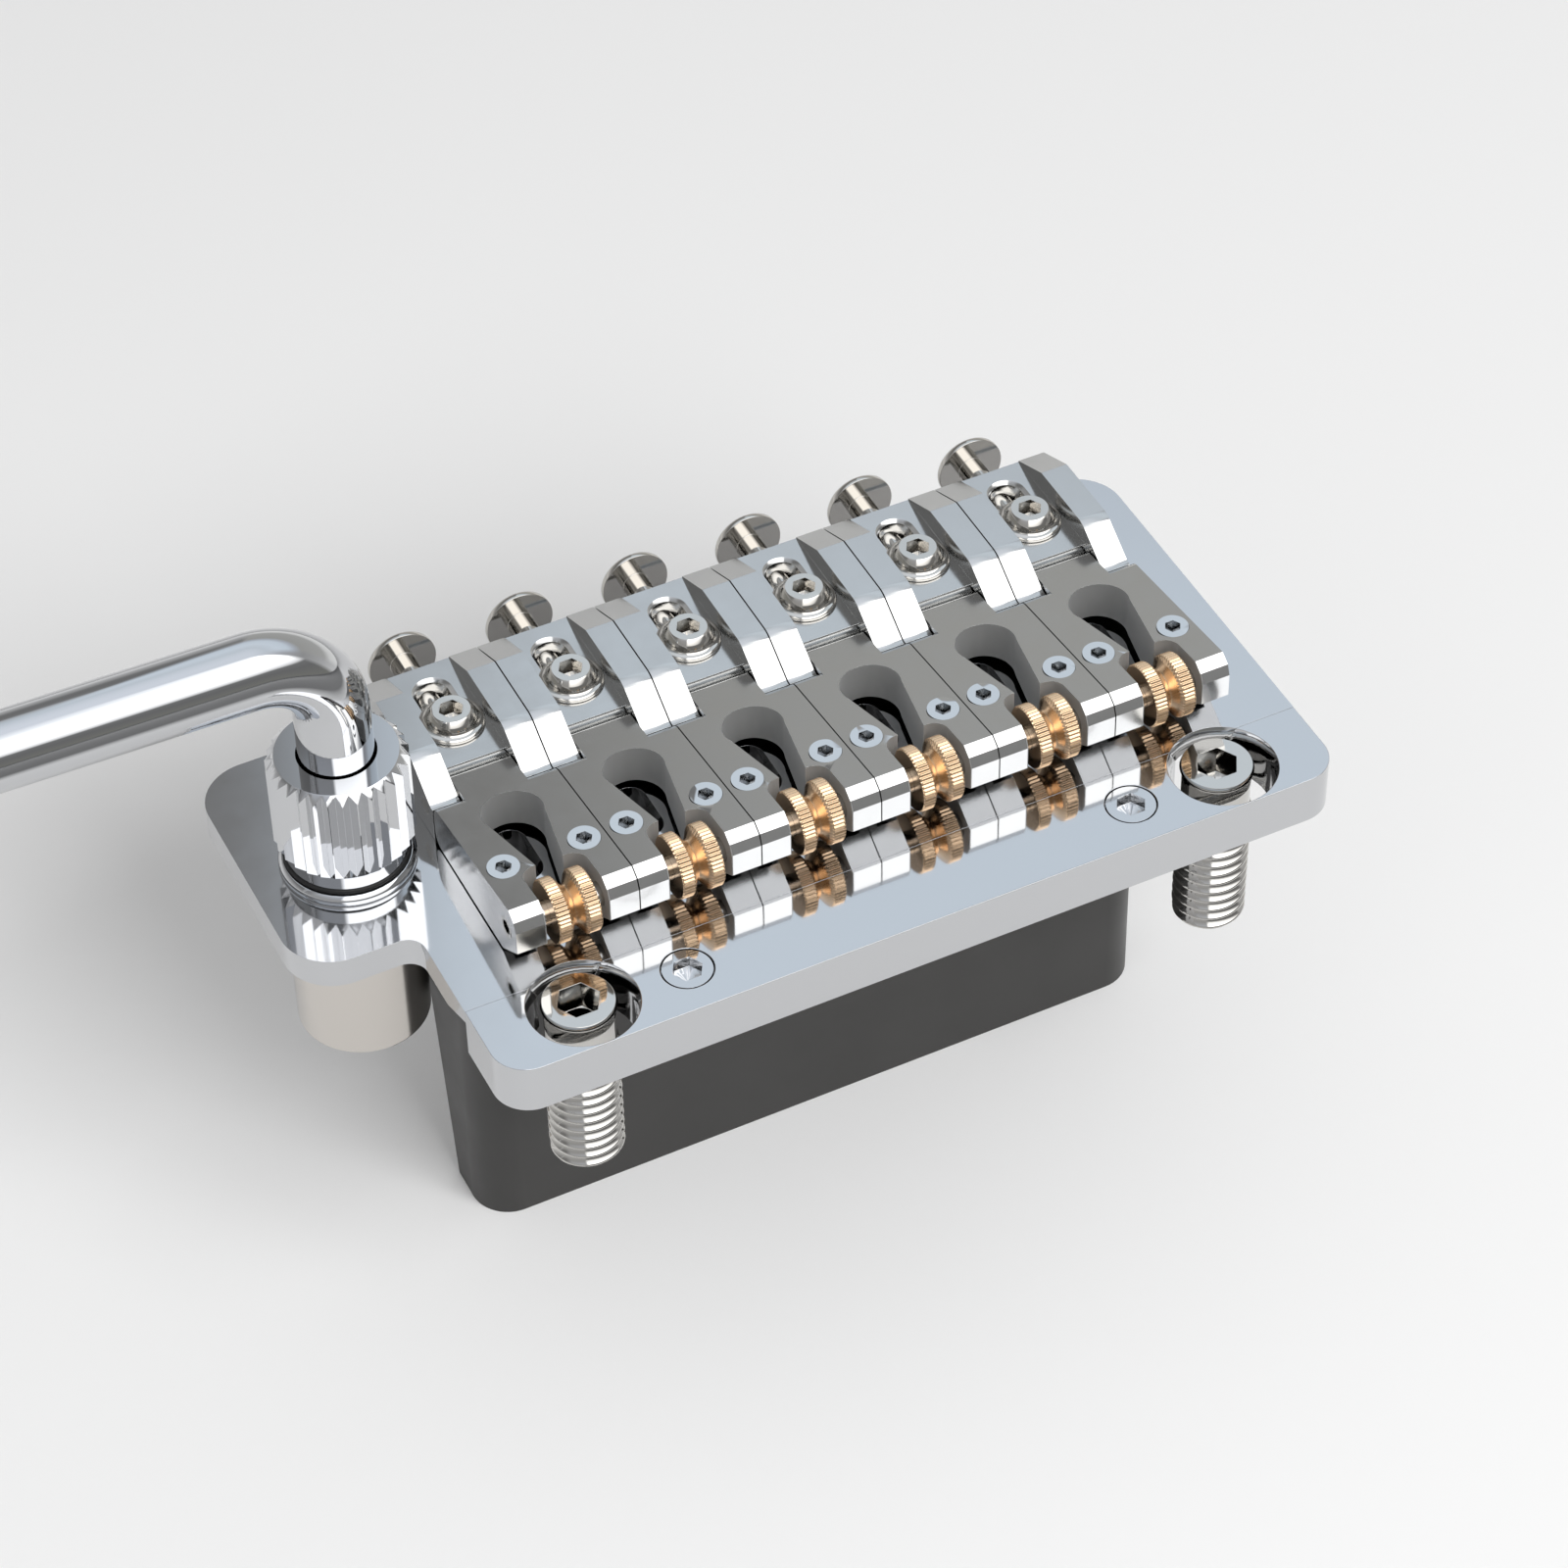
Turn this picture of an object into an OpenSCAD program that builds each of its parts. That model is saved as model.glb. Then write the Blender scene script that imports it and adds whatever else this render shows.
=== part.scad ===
// Two-post guitar tremolo bridge with six roller saddles and a swinging arm.
// X runs across the strings, Y runs from the pivot posts to the rear, Z is up.
// The origin is on the guitar's top, midway between the two pivot posts.

/* [Layout] */
// Distance between the axes of the two pivot studs
stud_spacing = 56; // [54:0.5:58]
// Distance between neighbouring strings
string_pitch = 10.4; // [10.2:0.1:10.8]
// Height of the plate's upper face above the guitar's top
plate_top = 8; // [7.5:0.1:9]

/* [Base plate] */
// Width of the plate without its arm ear
plate_w = 72.8; // [72:0.2:76]
// Thickness of the plate
plate_t = 2.7; // [2.6:0.1:3]
// Front edge of the plate, behind the stud axes
seam_y = 2.35; // [2.3:0.05:2.4]
// Rear edge of the plate, behind the stud axes
plate_rear_y = 35.1; // [35:0.1:36]
// Corner radius at the rear right
plate_corner_r = 4; // [3:0.5:5]
// Reach of the arm ear beyond the arm's turning axis
ear_reach = 8.1; // [7.8:0.1:10]
// Front edge of the arm ear, behind the stud axes
ear_y = 11.4; // [11:0.1:12]
// Corner radius of the arm ear
ear_corner_r = 4.3; // [3:0.1:5]
// Radius of the inner corner between plate and ear
ear_fillet_r = 1.6; // [1:0.1:2]
// Length of the bevel under the plate's knife edges
knife_bevel_y = 3.6; // [3:0.1:4]
// Thickness left at the plate's knife edges
knife_edge_t = 1.2; // [1.1:0.1:1.5]

/* [Front bar] */
// Depth of the bar from front to rear
bar_depth = 7.8; // [7.6:0.1:8.4]
// Thickness of the bar
bar_t = 4.6; // [4.4:0.1:5]
// Radius of the bar's front corners
bar_corner_r = 3; // [2:0.5:3.5]
// Distance of each bar screw from the centre line
bar_screw_x = 19.4; // [18:0.2:20]

/* [Pivot studs] */
// Radius of the stud's thread
stud_r = 3; // [2.9:0.05:3]
// Depth of the stud's lower end under the plate's upper face
stud_depth = 17.2; // [15:0.1:20]
// Width across the flats of the stud's hex socket
stud_hex = 3.1; // [2.5:0.1:3.5]

/* [Sustain block] */
// Length of the block across the strings
block_l = 61.7; // [60:0.1:70]
// Shift of the block's middle away from the arm
block_x = -1.35; // [-1.6:0.05:-1.2]
// Front face of the block, behind the stud axes
block_y = 12.6; // [12.4:0.1:12.8]
// Thickness of the block at its top
block_top_t = 11.3; // [10.5:0.1:12]
// Thickness of the block at its foot
block_foot_t = 6.2; // [6.1:0.1:8]
// Height of the block
block_h = 35.3; // [33:0.1:42]
// Radius of the block's front corners
block_corner_r = 3.3; // [2:0.1:3.5]

/* [Saddles] */
// Gap between neighbouring saddles
saddle_gap = 0.1; // [0.1:0.05:0.3]
// Height of a saddle's two ears above the plate
ear_h = 5.75; // [5.7:0.05:6]
// Height of the pocket floor between the ears
floor_h = 3.95; // [3.9:0.05:4]
// Width of the pocket between the ears
pocket_w = 5.5; // [5.5:0.05:5.7]
// Rear face of a saddle, behind the stud axes
saddle_rear_y = 34.9; // [34.8:0.05:35]
// Height of the rocker's front edge above the plate
deck_front_h = 5.97; // [5.9:0.01:6.1]
// Downward slope of the rocker's deck towards the rear, in degrees
deck_slope = 7.5; // [7:0.1:8]
// Radius of the string hole through the rocker
keyhole_r = 2.5; // [2.3:0.05:2.6]
// Distance of each height screw from the string
height_screw_x = 3.4; // [3.35:0.05:3.5]
// Radius of the height screws
height_screw_r = 1.3; // [1.1:0.05:1.3]

/* [Rollers] */
// Radius over the roller's rims
roller_r = 2.65; // [2.5:0.05:2.7]
// Width of the roller
roller_w = 3.6; // [3.4:0.1:4.2]
// Radius at the bottom of the string groove
groove_r = 1.65; // [1.5:0.05:1.9]
// Radius of the roller's pin
roller_pin_r = 1; // [0.8:0.05:1]

/* [Arm] */
// Radius of the arm rod
arm_r = 3; // [2.9:0.05:3]
// Distance from the arm's turning axis to the rod's far end
arm_reach = 150; // [100:5:180]
// Height of the arm's bend above the plate
arm_h = 22.6; // [20:0.2:30]
// Radius of the bend along the rod's middle
arm_bend_r = 6.5; // [6:0.5:10]
// Rise of the arm away from the bend, in degrees
arm_rise = 1.5; // [0:0.5:6]
// Radius over the collar's teeth
collar_r = 5.6; // [5.5:0.05:5.7]
// Number of teeth round the collar
collar_teeth = 30; // [24:2:36]

/* [Fits] */
// Clearance round a piece that turns or slides
run_gap = 0.03; // [0.02:0.01:0.05]
// Clearance between pieces that stay together
fix_gap = 0.01; // [0.01:0.005:0.02]

/* [Hidden] */
$fn = 64;

// Cutters run this far past the faces they open.
over = 1;

// Saddles count from the arm's side, one for each string.
string_count = 6;
saddle_w = string_pitch - saddle_gap;
function string_x(i) = (i - (string_count + 1) / 2) * string_pitch;

// A hexagon's corner radius from its width across the flats.
function hex_r(flats) = flats / sqrt(3);

// The pocket round each stud, whose rear wall is the plate's knife edge.
pocket_r = stud_r + 1.05;
pocket_y = -0.9;
pocket_rim_r = pocket_r + 0.4;

// The stud's head, from its flat top down to its groove.
stud_top = -0.55;
stud_flat_r = stud_r - 0.15;
stud_shoulder = -0.9;
stud_groove = -knife_edge_t;
stud_neck_r = stud_r - 0.2;
stud_thread_top = -bar_t - 0.4;
stud_end_chamfer = 0.6;
stud_hex_depth = 2.6;

// The plate's tongue lies in a slot in the bar, under the heads of two screws.
tongue_w = 46;
tongue_front_y = -4;
tongue_top = -1.5;
tongue_slot_gap = 0.05;
bar_head_r = 2;
bar_head_top = -0.05;
bar_head_gap = 0.12;
bar_shank_r = 1.2;
bar_shank_depth = 4.2;
bar_hex = 2.2;
bar_hex_depth = 1;
bar_screw_y = -1.3;
knife_w = (plate_w - tongue_w) / 2;

// String paths through the plate and the block.
string_hole_y = 15.7;
plate_slot_r = 1.4;
plate_slot_l = 5.8;
string_bore_r = 1.2;
ball_bore_r = 2.2;
ball_bore_h = 26;
spring_bore_r = 1.25;
spring_bore_h = 8;

// Countersunk screws hold the block under the plate.
block_screw_x = [-2 * string_pitch, 0, 2 * string_pitch];
block_screw_y = 16;
block_head_r = 2.4;
block_head_top = -0.05;
block_head_gap = 0.05;
block_shank_r = 1.5;
block_shank_h = 12;
block_hex = 2;
block_hex_depth = 1;

// The rocker turns on a pin across the saddle's ears.
hinge_y = 21.6;
hinge_z = 2.6;
hinge_pin_r = 0.75;

// The rocker's side outline, from its nose to its rear lip.
nose_y = 3.95;
nose_low_z = 2.3;
nose_high_z = 4.45;
brow_y = 4.3;
brow_z = 5.35;
deck_y = 5.2;
foot_y = 6.9;
foot_z = 0.25;
heel_y = 18.75;
heel_z = 0.2;
heel_r = 1.1;
rocker_rear_y = heel_y + heel_r;
arc_steps = 10;
// A shallow channel between two runners lightens the rocker's underside.
runner_w = 0.7;
channel_z = 0.72;
function deck_z(y) = deck_front_h - (y - deck_y) * tan(deck_slope);
function arc_point(c, r, a) = [c[0] + r * cos(a), c[1] + r * sin(a)];

// The tongue of the rocker carries the deck back between the ears and ends round the hinge pin.
tongue_gap = 0.1;
rocker_tongue_w = pocket_w - 2 * tongue_gap;
eye_r = (deck_z(hinge_y) - hinge_z) * cos(deck_slope);
eye_gap = 0.25;
tongue_rear_y = hinge_y + eye_r;
tongue_end_r = 0.45;

// The roller's slot and the keyhole that narrows towards it.
slot_w = 5.3;
slot_rear_y = 9.1;
slot_corner_r = 1.3;
keyhole_y = 16.1;
neck_w = 2.3;
roller_y = 5.9;
roller_z = 3.5;
rim_w = 1.12;
groove_w = 0.4;
rim_chamfer = 0.12;
pin_hex = 1.15;
pin_hex_depth = 2.6;

// Height screws stand upright and show a little above the deck.
height_screw_y = 10.1;
height_screw_end = 0.04;
height_screw_proud = 0.12;
height_hex = 1.2;
height_hex_depth = 1.8;

// The carriage's side outline and its slot for the lock screw.
carriage_low = 0.02;
ear_front_y = 20.1;
ear_slope_z = 3.15;
ear_top_front_y = 24.05;
ear_top_rear_y = 31;
ear_rear_z = 4.05;
// The ear's front slope rises from a narrow ledge and rounds over into the flat top.
ledge_z = 3.35;
ear_angle = atan2(ear_h - ear_slope_z, ear_top_front_y - ear_front_y);
ear_foot_r = 0.8;
ear_foot = [
    ear_front_y + (ledge_z - ear_slope_z) / tan(ear_angle) - ear_foot_r * tan(ear_angle / 2),
    ledge_z + ear_foot_r
];
ear_brow_r = 2;
ear_brow = [ear_top_front_y + ear_brow_r * tan(ear_angle / 2), ear_h - ear_brow_r];
ear_steps = 6;
recess_y = tongue_rear_y + eye_gap;
recess_lean = 0.3;
recess_lean_h = 0.85;
lock_y = 27.9;
lock_r = 1.25;
lock_slot_r = lock_r + 0.1;
lock_slot_front_y = 25.6;
lock_slot_rear_y = 33.2;
lock_slot_chamfer = 0.3;
lock_flange_r = 2.65;
lock_rim_h = 0.35;
lock_top_z = 5.45;
lock_top_r = 1.55;
lock_break = 0.12;
lock_cove_r = 0.45;
lock_hex = 1.8;
lock_hex_depth = 1.4;
lock_shank_end = -2.6;

// The thumb screw runs in the carriage's rear wall and bears on the lock screw.
thumb_z = 1.7;
thumb_r = 1.1;
thumb_tip_y = lock_y + lock_r + 0.02;
thumb_face_y = 38.2;
thumb_head_r = 2.93;
thumb_rim = 0.35;
thumb_dome = 0.95;

// The arm's axis clears the block's end with the socket and the saddles with the collar.
socket_r = 5.4;
socket_gap = 0.3;
collar_gap = 1.15;
block_reach = block_l / 2 - block_x;
saddle_reach = -string_x(1) + saddle_w / 2;
arm_x = -max(block_reach + socket_gap + socket_r, saddle_reach + collar_gap + collar_r);
arm_y = 21.65;
ear_x = ear_reach - arm_x;

// The pieces stacked on the arm's axis, from the socket's foot to the collar's top.
socket_low = -17.1;
neck_r = 4.4;
neck_top = 6.6;
bushing_r = 3.5;
bushing_low = -15.1;
bushing_top = 6.5;
arm_low = -14.8;
ring_r = 5.45;
ring_top = 0.82;
ring_chamfer = 0.3;
seal_r = 0.24;
seal_path_r = 4.83;
seal_z = ring_top + 2 * fix_gap + seal_r;
collar_low = seal_z + seal_r + run_gap;
collar_top = 11.6;
collar_skirt_r = 4.9;
collar_hole_r = arm_r + 0.16;
collar_cavity_top = 7.1;
tooth_low = 2.5;
tooth_depth = 0.65;
tooth_bevel = 0.75;
// The straight rod starts a little inside the bend, so it is that much thinner.
bend_step = 0.01;
bend_overlap = 0.3;
tip_r = 4;
tip_l = 16;
tip_seat = 8;
tip_wall = 0.8;

// Extrude a side outline drawn in Y and Z across a width centred on X.
module across(w) {
    rotate([90, 0, 90]) linear_extrude(height = w, center = true) children();
}

// A cylinder lying along X, centred on X.
module x_rod(r, w) {
    rotate([0, 90, 0]) cylinder(r = r, h = w, center = true);
}

// A hexagonal socket opening upwards at a given height, with a drilled point below it.
module hex_socket(flats, top, depth) {
    translate([0, 0, top - depth]) cylinder(r = hex_r(flats), h = depth + over, $fn = 6);
    translate([0, 0, top - depth - flats / 4]) cylinder(r1 = 0, r2 = flats / 2, h = flats / 4);
}

// The waste outside a rounded corner at point p, on the side given by s.
module corner_waste(p, s, r, low, h) {
    c = [p[0] - s[0] * r, p[1] - s[1] * r];
    difference() {
        translate([c[0] - (s[0] < 0 ? r + over : 0), c[1] - (s[1] < 0 ? r + over : 0), low - over])
            cube([r + over, r + over, h + 2 * over]);
        translate([c[0], c[1], low - 2 * over]) cylinder(r = r, h = h + 4 * over);
    }
}

// An upright slot with round ends, between two points along Y.
module y_slot(r, y_from, y_to, low, h) {
    translate([0, y_from + r, low]) cylinder(r = r, h = h);
    translate([0, y_to - r, low]) cylinder(r = r, h = h);
    translate([-r, y_from + r, low]) cube([2 * r, y_to - y_from - 2 * r, h]);
}

// Both stud pockets, widened at the rim and down to the knife edge.
module stud_pockets() {
    for (side = [-1, 1]) {
        translate([side * stud_spacing / 2, pocket_y, -bar_t - over]) cylinder(r = pocket_r, h = bar_t + 2 * over);
        translate([side * stud_spacing / 2, pocket_y, -knife_edge_t])
            cylinder(r1 = pocket_r, r2 = pocket_rim_r, h = knife_edge_t);
        translate([side * stud_spacing / 2, pocket_y, 0]) cylinder(r = pocket_rim_r, h = over);
    }
}

// The bevel under the plate that leaves a thin edge beside each stud.
module knife_bevel(side) {
    translate([side * (tongue_w / 2 + knife_w / 2), 0, 0]) across(knife_w + over) polygon([
        [seam_y - over, -plate_t - over],
        [seam_y - over, -knife_edge_t],
        [seam_y, -knife_edge_t],
        [seam_y + knife_bevel_y, -plate_t],
        [seam_y + knife_bevel_y, -plate_t - over]
    ]);
}

module base_plate() {
    half = plate_w / 2;
    color([0.74, 0.77, 0.81]) translate([0, 0, plate_top]) difference() {
        union() {
            translate([-half, seam_y, -plate_t]) cube([plate_w, plate_rear_y - seam_y, plate_t]);
            translate([-ear_x, ear_y, -plate_t]) cube([ear_x, plate_rear_y - ear_y, plate_t]);
            difference() {
                translate([-half - ear_fillet_r, ear_y - ear_fillet_r, -plate_t])
                    cube([2 * ear_fillet_r, 2 * ear_fillet_r, plate_t]);
                translate([-half - ear_fillet_r, ear_y - ear_fillet_r, -plate_t - over])
                    cylinder(r = ear_fillet_r, h = plate_t + 2 * over);
            }
            translate([-tongue_w / 2, tongue_front_y, -plate_t + tongue_slot_gap])
                cube([tongue_w, seam_y + over - tongue_front_y, plate_t + tongue_top - tongue_slot_gap]);
        }
        corner_waste([half, plate_rear_y], [1, 1], plate_corner_r, -plate_t, plate_t);
        corner_waste([-ear_x, plate_rear_y], [-1, 1], ear_corner_r, -plate_t, plate_t);
        corner_waste([-ear_x, ear_y], [-1, -1], ear_corner_r, -plate_t, plate_t);
        for (side = [-1, 1]) {
            knife_bevel(side);
            translate([side * bar_screw_x, bar_screw_y, -plate_t - over])
                cylinder(r = bar_shank_r + run_gap, h = plate_t + over);
        }
        stud_pockets();
        for (i = [1:string_count]) {
            translate([string_x(i), 0, 0]) y_slot(plate_slot_r, string_hole_y - plate_slot_l / 2,
                string_hole_y + plate_slot_l / 2, -plate_t - over, plate_t + 2 * over);
            translate([string_x(i), lock_y, -plate_t - over]) cylinder(r = lock_r + fix_gap, h = plate_t + 2 * over);
        }
        for (x = block_screw_x) {
            translate([x, block_screw_y, 0]) block_screw_form(block_head_gap, plate_t + over);
        }
        translate([arm_x, arm_y, -plate_t - over]) cylinder(r = neck_r + fix_gap, h = plate_t + 2 * over);
    }
}

module front_bar() {
    half = plate_w / 2;
    front_y = seam_y - bar_depth;
    color([0.77, 0.79, 0.83]) translate([0, 0, plate_top]) difference() {
        translate([-half, front_y, -bar_t]) cube([plate_w, bar_depth, bar_t]);
        corner_waste([-half, front_y], [-1, -1], bar_corner_r, -bar_t, bar_t);
        corner_waste([half, front_y], [1, -1], bar_corner_r, -bar_t, bar_t);
        stud_pockets();
        translate([-tongue_w / 2 - tongue_slot_gap, tongue_front_y - tongue_slot_gap, -plate_t])
            cube([tongue_w + 2 * tongue_slot_gap, bar_depth, plate_t + tongue_top + tongue_slot_gap]);
        for (side = [-1, 1]) {
            translate([side * bar_screw_x, bar_screw_y, tongue_top])
                cylinder(r = bar_head_r + bar_head_gap, h = over - tongue_top);
            translate([side * bar_screw_x, bar_screw_y, -bar_t - over])
                cylinder(r = bar_shank_r + fix_gap, h = bar_t);
        }
    }
}

module front_bar_screws() {
    for (side = [-1, 1]) {
        color([0.72, 0.73, 0.75]) translate([side * bar_screw_x, bar_screw_y, plate_top]) difference() {
            union() {
                translate([0, 0, tongue_top + fix_gap])
                    cylinder(r = bar_head_r, h = bar_head_top - tongue_top - fix_gap);
                translate([0, 0, -bar_shank_depth]) cylinder(r = bar_shank_r, h = bar_shank_depth + bar_head_top);
            }
            hex_socket(bar_hex, bar_head_top, bar_hex_depth);
        }
    }
}

module stud() {
    difference() {
        rotate_extrude() polygon([
            [0, -stud_depth],
            [stud_r - stud_end_chamfer, -stud_depth],
            [stud_r, -stud_depth + stud_end_chamfer],
            [stud_r, stud_thread_top - stud_r + stud_neck_r],
            [stud_neck_r, stud_thread_top],
            [stud_neck_r, stud_groove],
            [stud_r, stud_shoulder],
            [stud_flat_r, stud_top],
            [0, stud_top]
        ]);
        hex_socket(stud_hex, stud_top, stud_hex_depth);
    }
}

module pivot_studs() {
    for (side = [-1, 1]) {
        color([0.78, 0.78, 0.78]) translate([side * stud_spacing / 2, 0, plate_top]) stud();
    }
}

// The waste behind the block's leaning rear face.
module block_rear_waste() {
    top = -plate_t;
    foot = top - block_h;
    across(block_l + 2 * over) polygon([
        [block_y + block_foot_t, foot],
        [block_y + block_top_t, top],
        [block_y + block_top_t, top + over],
        [block_y + block_top_t + 2 * over, top + over],
        [block_y + block_top_t + 2 * over, foot - over],
        [block_y + block_foot_t, foot - over]
    ]);
}

module sustain_block() {
    top = -plate_t - fix_gap;
    foot = -plate_t - block_h;
    color([0.28, 0.28, 0.28]) translate([0, 0, plate_top]) difference() {
        translate([block_x - block_l / 2, block_y, foot]) cube([block_l, block_top_t, top - foot]);
        translate([block_x, 0, 0]) block_rear_waste();
        for (side = [-1, 1]) {
            corner_waste([block_x + side * block_l / 2, block_y], [side, -1], block_corner_r, foot, block_h);
        }
        for (i = [1:string_count]) {
            translate([string_x(i), string_hole_y, foot - over]) {
                cylinder(r = string_bore_r, h = block_h + 2 * over);
                cylinder(r = ball_bore_r, h = ball_bore_h + over);
            }
        }
        for (i = [1:string_count - 1]) {
            translate([string_x(i) + string_pitch / 2, string_hole_y, foot - over])
                cylinder(r = spring_bore_r, h = spring_bore_h + over);
        }
        for (x = block_screw_x) {
            translate([x, block_screw_y, -plate_t - block_shank_h])
                cylinder(r = block_shank_r + fix_gap, h = block_shank_h + over);
        }
    }
}

// A countersunk screw's outer form, grown by a gap, down to a given depth.
module block_screw_form(gap, depth) {
    head_h = block_head_r - block_shank_r;
    translate([0, 0, block_head_top]) cylinder(r = block_head_r + gap, h = over);
    translate([0, 0, block_head_top - head_h])
        cylinder(r1 = block_shank_r + gap, r2 = block_head_r + gap, h = head_h);
    translate([0, 0, -depth]) cylinder(r = block_shank_r + gap, h = depth + block_head_top);
}

module block_screws() {
    for (x = block_screw_x) {
        color([0.5, 0.5, 0.52]) translate([x, block_screw_y, plate_top]) difference() {
            block_screw_form(0, plate_t + block_shank_h - over);
            translate([0, 0, block_head_top]) cylinder(r = block_head_r + over, h = 2 * over);
            hex_socket(block_hex, block_head_top, block_hex_depth);
        }
    }
}

module arm_socket() {
    color([0.72, 0.7, 0.68]) translate([arm_x, arm_y, plate_top]) difference() {
        union() {
            translate([0, 0, socket_low]) cylinder(r = socket_r, h = -plate_t - fix_gap - socket_low);
            translate([0, 0, socket_low]) cylinder(r = neck_r, h = neck_top - socket_low);
        }
        translate([0, 0, bushing_low]) cylinder(r = bushing_r + fix_gap, h = neck_top - bushing_low + over);
    }
}

module arm_bushing() {
    color([0.9, 0.9, 0.86]) translate([arm_x, arm_y, plate_top + bushing_low + fix_gap]) difference() {
        cylinder(r = bushing_r, h = bushing_top - bushing_low);
        translate([0, 0, -over]) cylinder(r = arm_r + run_gap, h = bushing_top - bushing_low + 2 * over);
    }
}

module socket_ring() {
    color([0.76, 0.77, 0.78]) translate([arm_x, arm_y, plate_top + fix_gap]) difference() {
        union() {
            cylinder(r = ring_r, h = ring_top - ring_chamfer);
            translate([0, 0, ring_top - ring_chamfer])
                cylinder(r1 = ring_r, r2 = ring_r - ring_chamfer, h = ring_chamfer);
        }
        translate([0, 0, -over]) cylinder(r = neck_r + fix_gap, h = ring_top + 2 * over);
    }
}

module arm_seal() {
    color([0.05, 0.05, 0.05]) translate([arm_x, arm_y, plate_top + seal_z])
        rotate_extrude() translate([seal_path_r, 0]) circle(r = seal_r);
}

// The toothed outline of the collar.
module tooth_outline() {
    polygon([for (i = [0:2 * collar_teeth - 1])
        let (r = i % 2 == 0 ? collar_r : collar_r - tooth_depth, a = i * 180 / collar_teeth)
        [r * cos(a), r * sin(a)]]);
}

module arm_collar() {
    collar_end_r = collar_r - tooth_bevel;
    bevel_reach = over + tooth_bevel;
    color([0.8, 0.81, 0.83]) translate([arm_x, arm_y, plate_top]) difference() {
        union() {
            translate([0, 0, collar_low]) cylinder(r = collar_skirt_r, h = tooth_low + over - collar_low);
            intersection() {
                translate([0, 0, tooth_low]) linear_extrude(height = collar_top - tooth_low) tooth_outline();
                rotate_extrude() polygon([
                    [0, tooth_low],
                    [collar_end_r, tooth_low],
                    [collar_r + over, tooth_low + bevel_reach],
                    [collar_r + over, collar_top - bevel_reach],
                    [collar_end_r, collar_top],
                    [0, collar_top]
                ]);
            }
        }
        translate([0, 0, collar_low - over]) cylinder(r = neck_r + run_gap, h = collar_cavity_top - collar_low + over);
        cylinder(r = collar_hole_r, h = collar_top + over);
    }
}

module arm_rod() {
    straight = arm_reach - arm_bend_r;
    color([0.82, 0.83, 0.84]) translate([arm_x, arm_y, plate_top]) {
        translate([0, 0, arm_low]) cylinder(r = arm_r, h = arm_h - arm_bend_r - arm_low);
        translate([-arm_bend_r, 0, arm_h - arm_bend_r]) rotate([90, 0, 0])
            rotate_extrude(angle = 90 - arm_rise) translate([arm_bend_r, 0]) circle(r = arm_r);
        translate([-arm_bend_r, 0, arm_h - arm_bend_r]) rotate([0, arm_rise, 0])
            translate([bend_overlap, 0, arm_bend_r]) rotate([0, -90, 0])
                cylinder(r = arm_r - bend_step, h = straight + bend_overlap);
    }
}

module arm_tip() {
    straight = arm_reach - arm_bend_r;
    color([0.93, 0.92, 0.88]) translate([arm_x - arm_bend_r, arm_y, plate_top + arm_h - arm_bend_r])
        rotate([0, arm_rise, 0]) translate([-straight + tip_seat, 0, arm_bend_r]) rotate([0, -90, 0]) difference() {
            union() {
                cylinder(r1 = arm_r + tip_wall, r2 = tip_r, h = tip_l - tip_r);
                translate([0, 0, tip_l - tip_r]) sphere(r = tip_r);
            }
            translate([0, 0, -over]) cylinder(r = arm_r + fix_gap, h = tip_seat + over + fix_gap);
        }
}

module lock_screw() {
    seat = floor_h + run_gap;
    cove = [lock_flange_r - lock_break, seat + lock_rim_h + lock_cove_r];
    difference() {
        union() {
            translate([0, 0, lock_shank_end]) cylinder(r = lock_r, h = seat - lock_shank_end);
            rotate_extrude() polygon(concat(
                [[0, seat], [lock_flange_r, seat], [lock_flange_r, seat + lock_rim_h - lock_break]],
                [for (k = [0:ear_steps]) arc_point(cove, lock_cove_r, -90 - k * 90 / ear_steps)],
                [[lock_top_r + lock_break, lock_top_z - lock_break], [lock_top_r, lock_top_z], [0, lock_top_z]]
            ));
        }
        hex_socket(lock_hex, lock_top_z, lock_hex_depth);
    }
}

// A point on a quarter ellipse, a given number of steps up from its side.
function arc_point_scaled(c, w, h, k) =
    [c[0] + w * cos(k * 90 / arc_steps), c[1] + h * sin(k * 90 / arc_steps)];

module lock_screws() {
    for (i = [1:string_count]) {
        color([0.7, 0.69, 0.66]) translate([string_x(i), lock_y, plate_top]) lock_screw();
    }
}

// The bevel round the lock screw's slot.
module lock_slot_rim() {
    front = lock_slot_front_y + lock_slot_r;
    rear = lock_slot_rear_y - lock_slot_r;
    low = floor_h - lock_slot_chamfer;
    wide = lock_slot_r + lock_slot_chamfer;
    for (y = [front, rear]) {
        translate([0, y, low]) cylinder(r1 = lock_slot_r, r2 = wide, h = lock_slot_chamfer);
    }
    translate([0, rear, 0]) rotate([90, 0, 0]) linear_extrude(height = rear - front)
        polygon([[-lock_slot_r, low], [lock_slot_r, low], [wide, floor_h], [-wide, floor_h]]);
}

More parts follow.
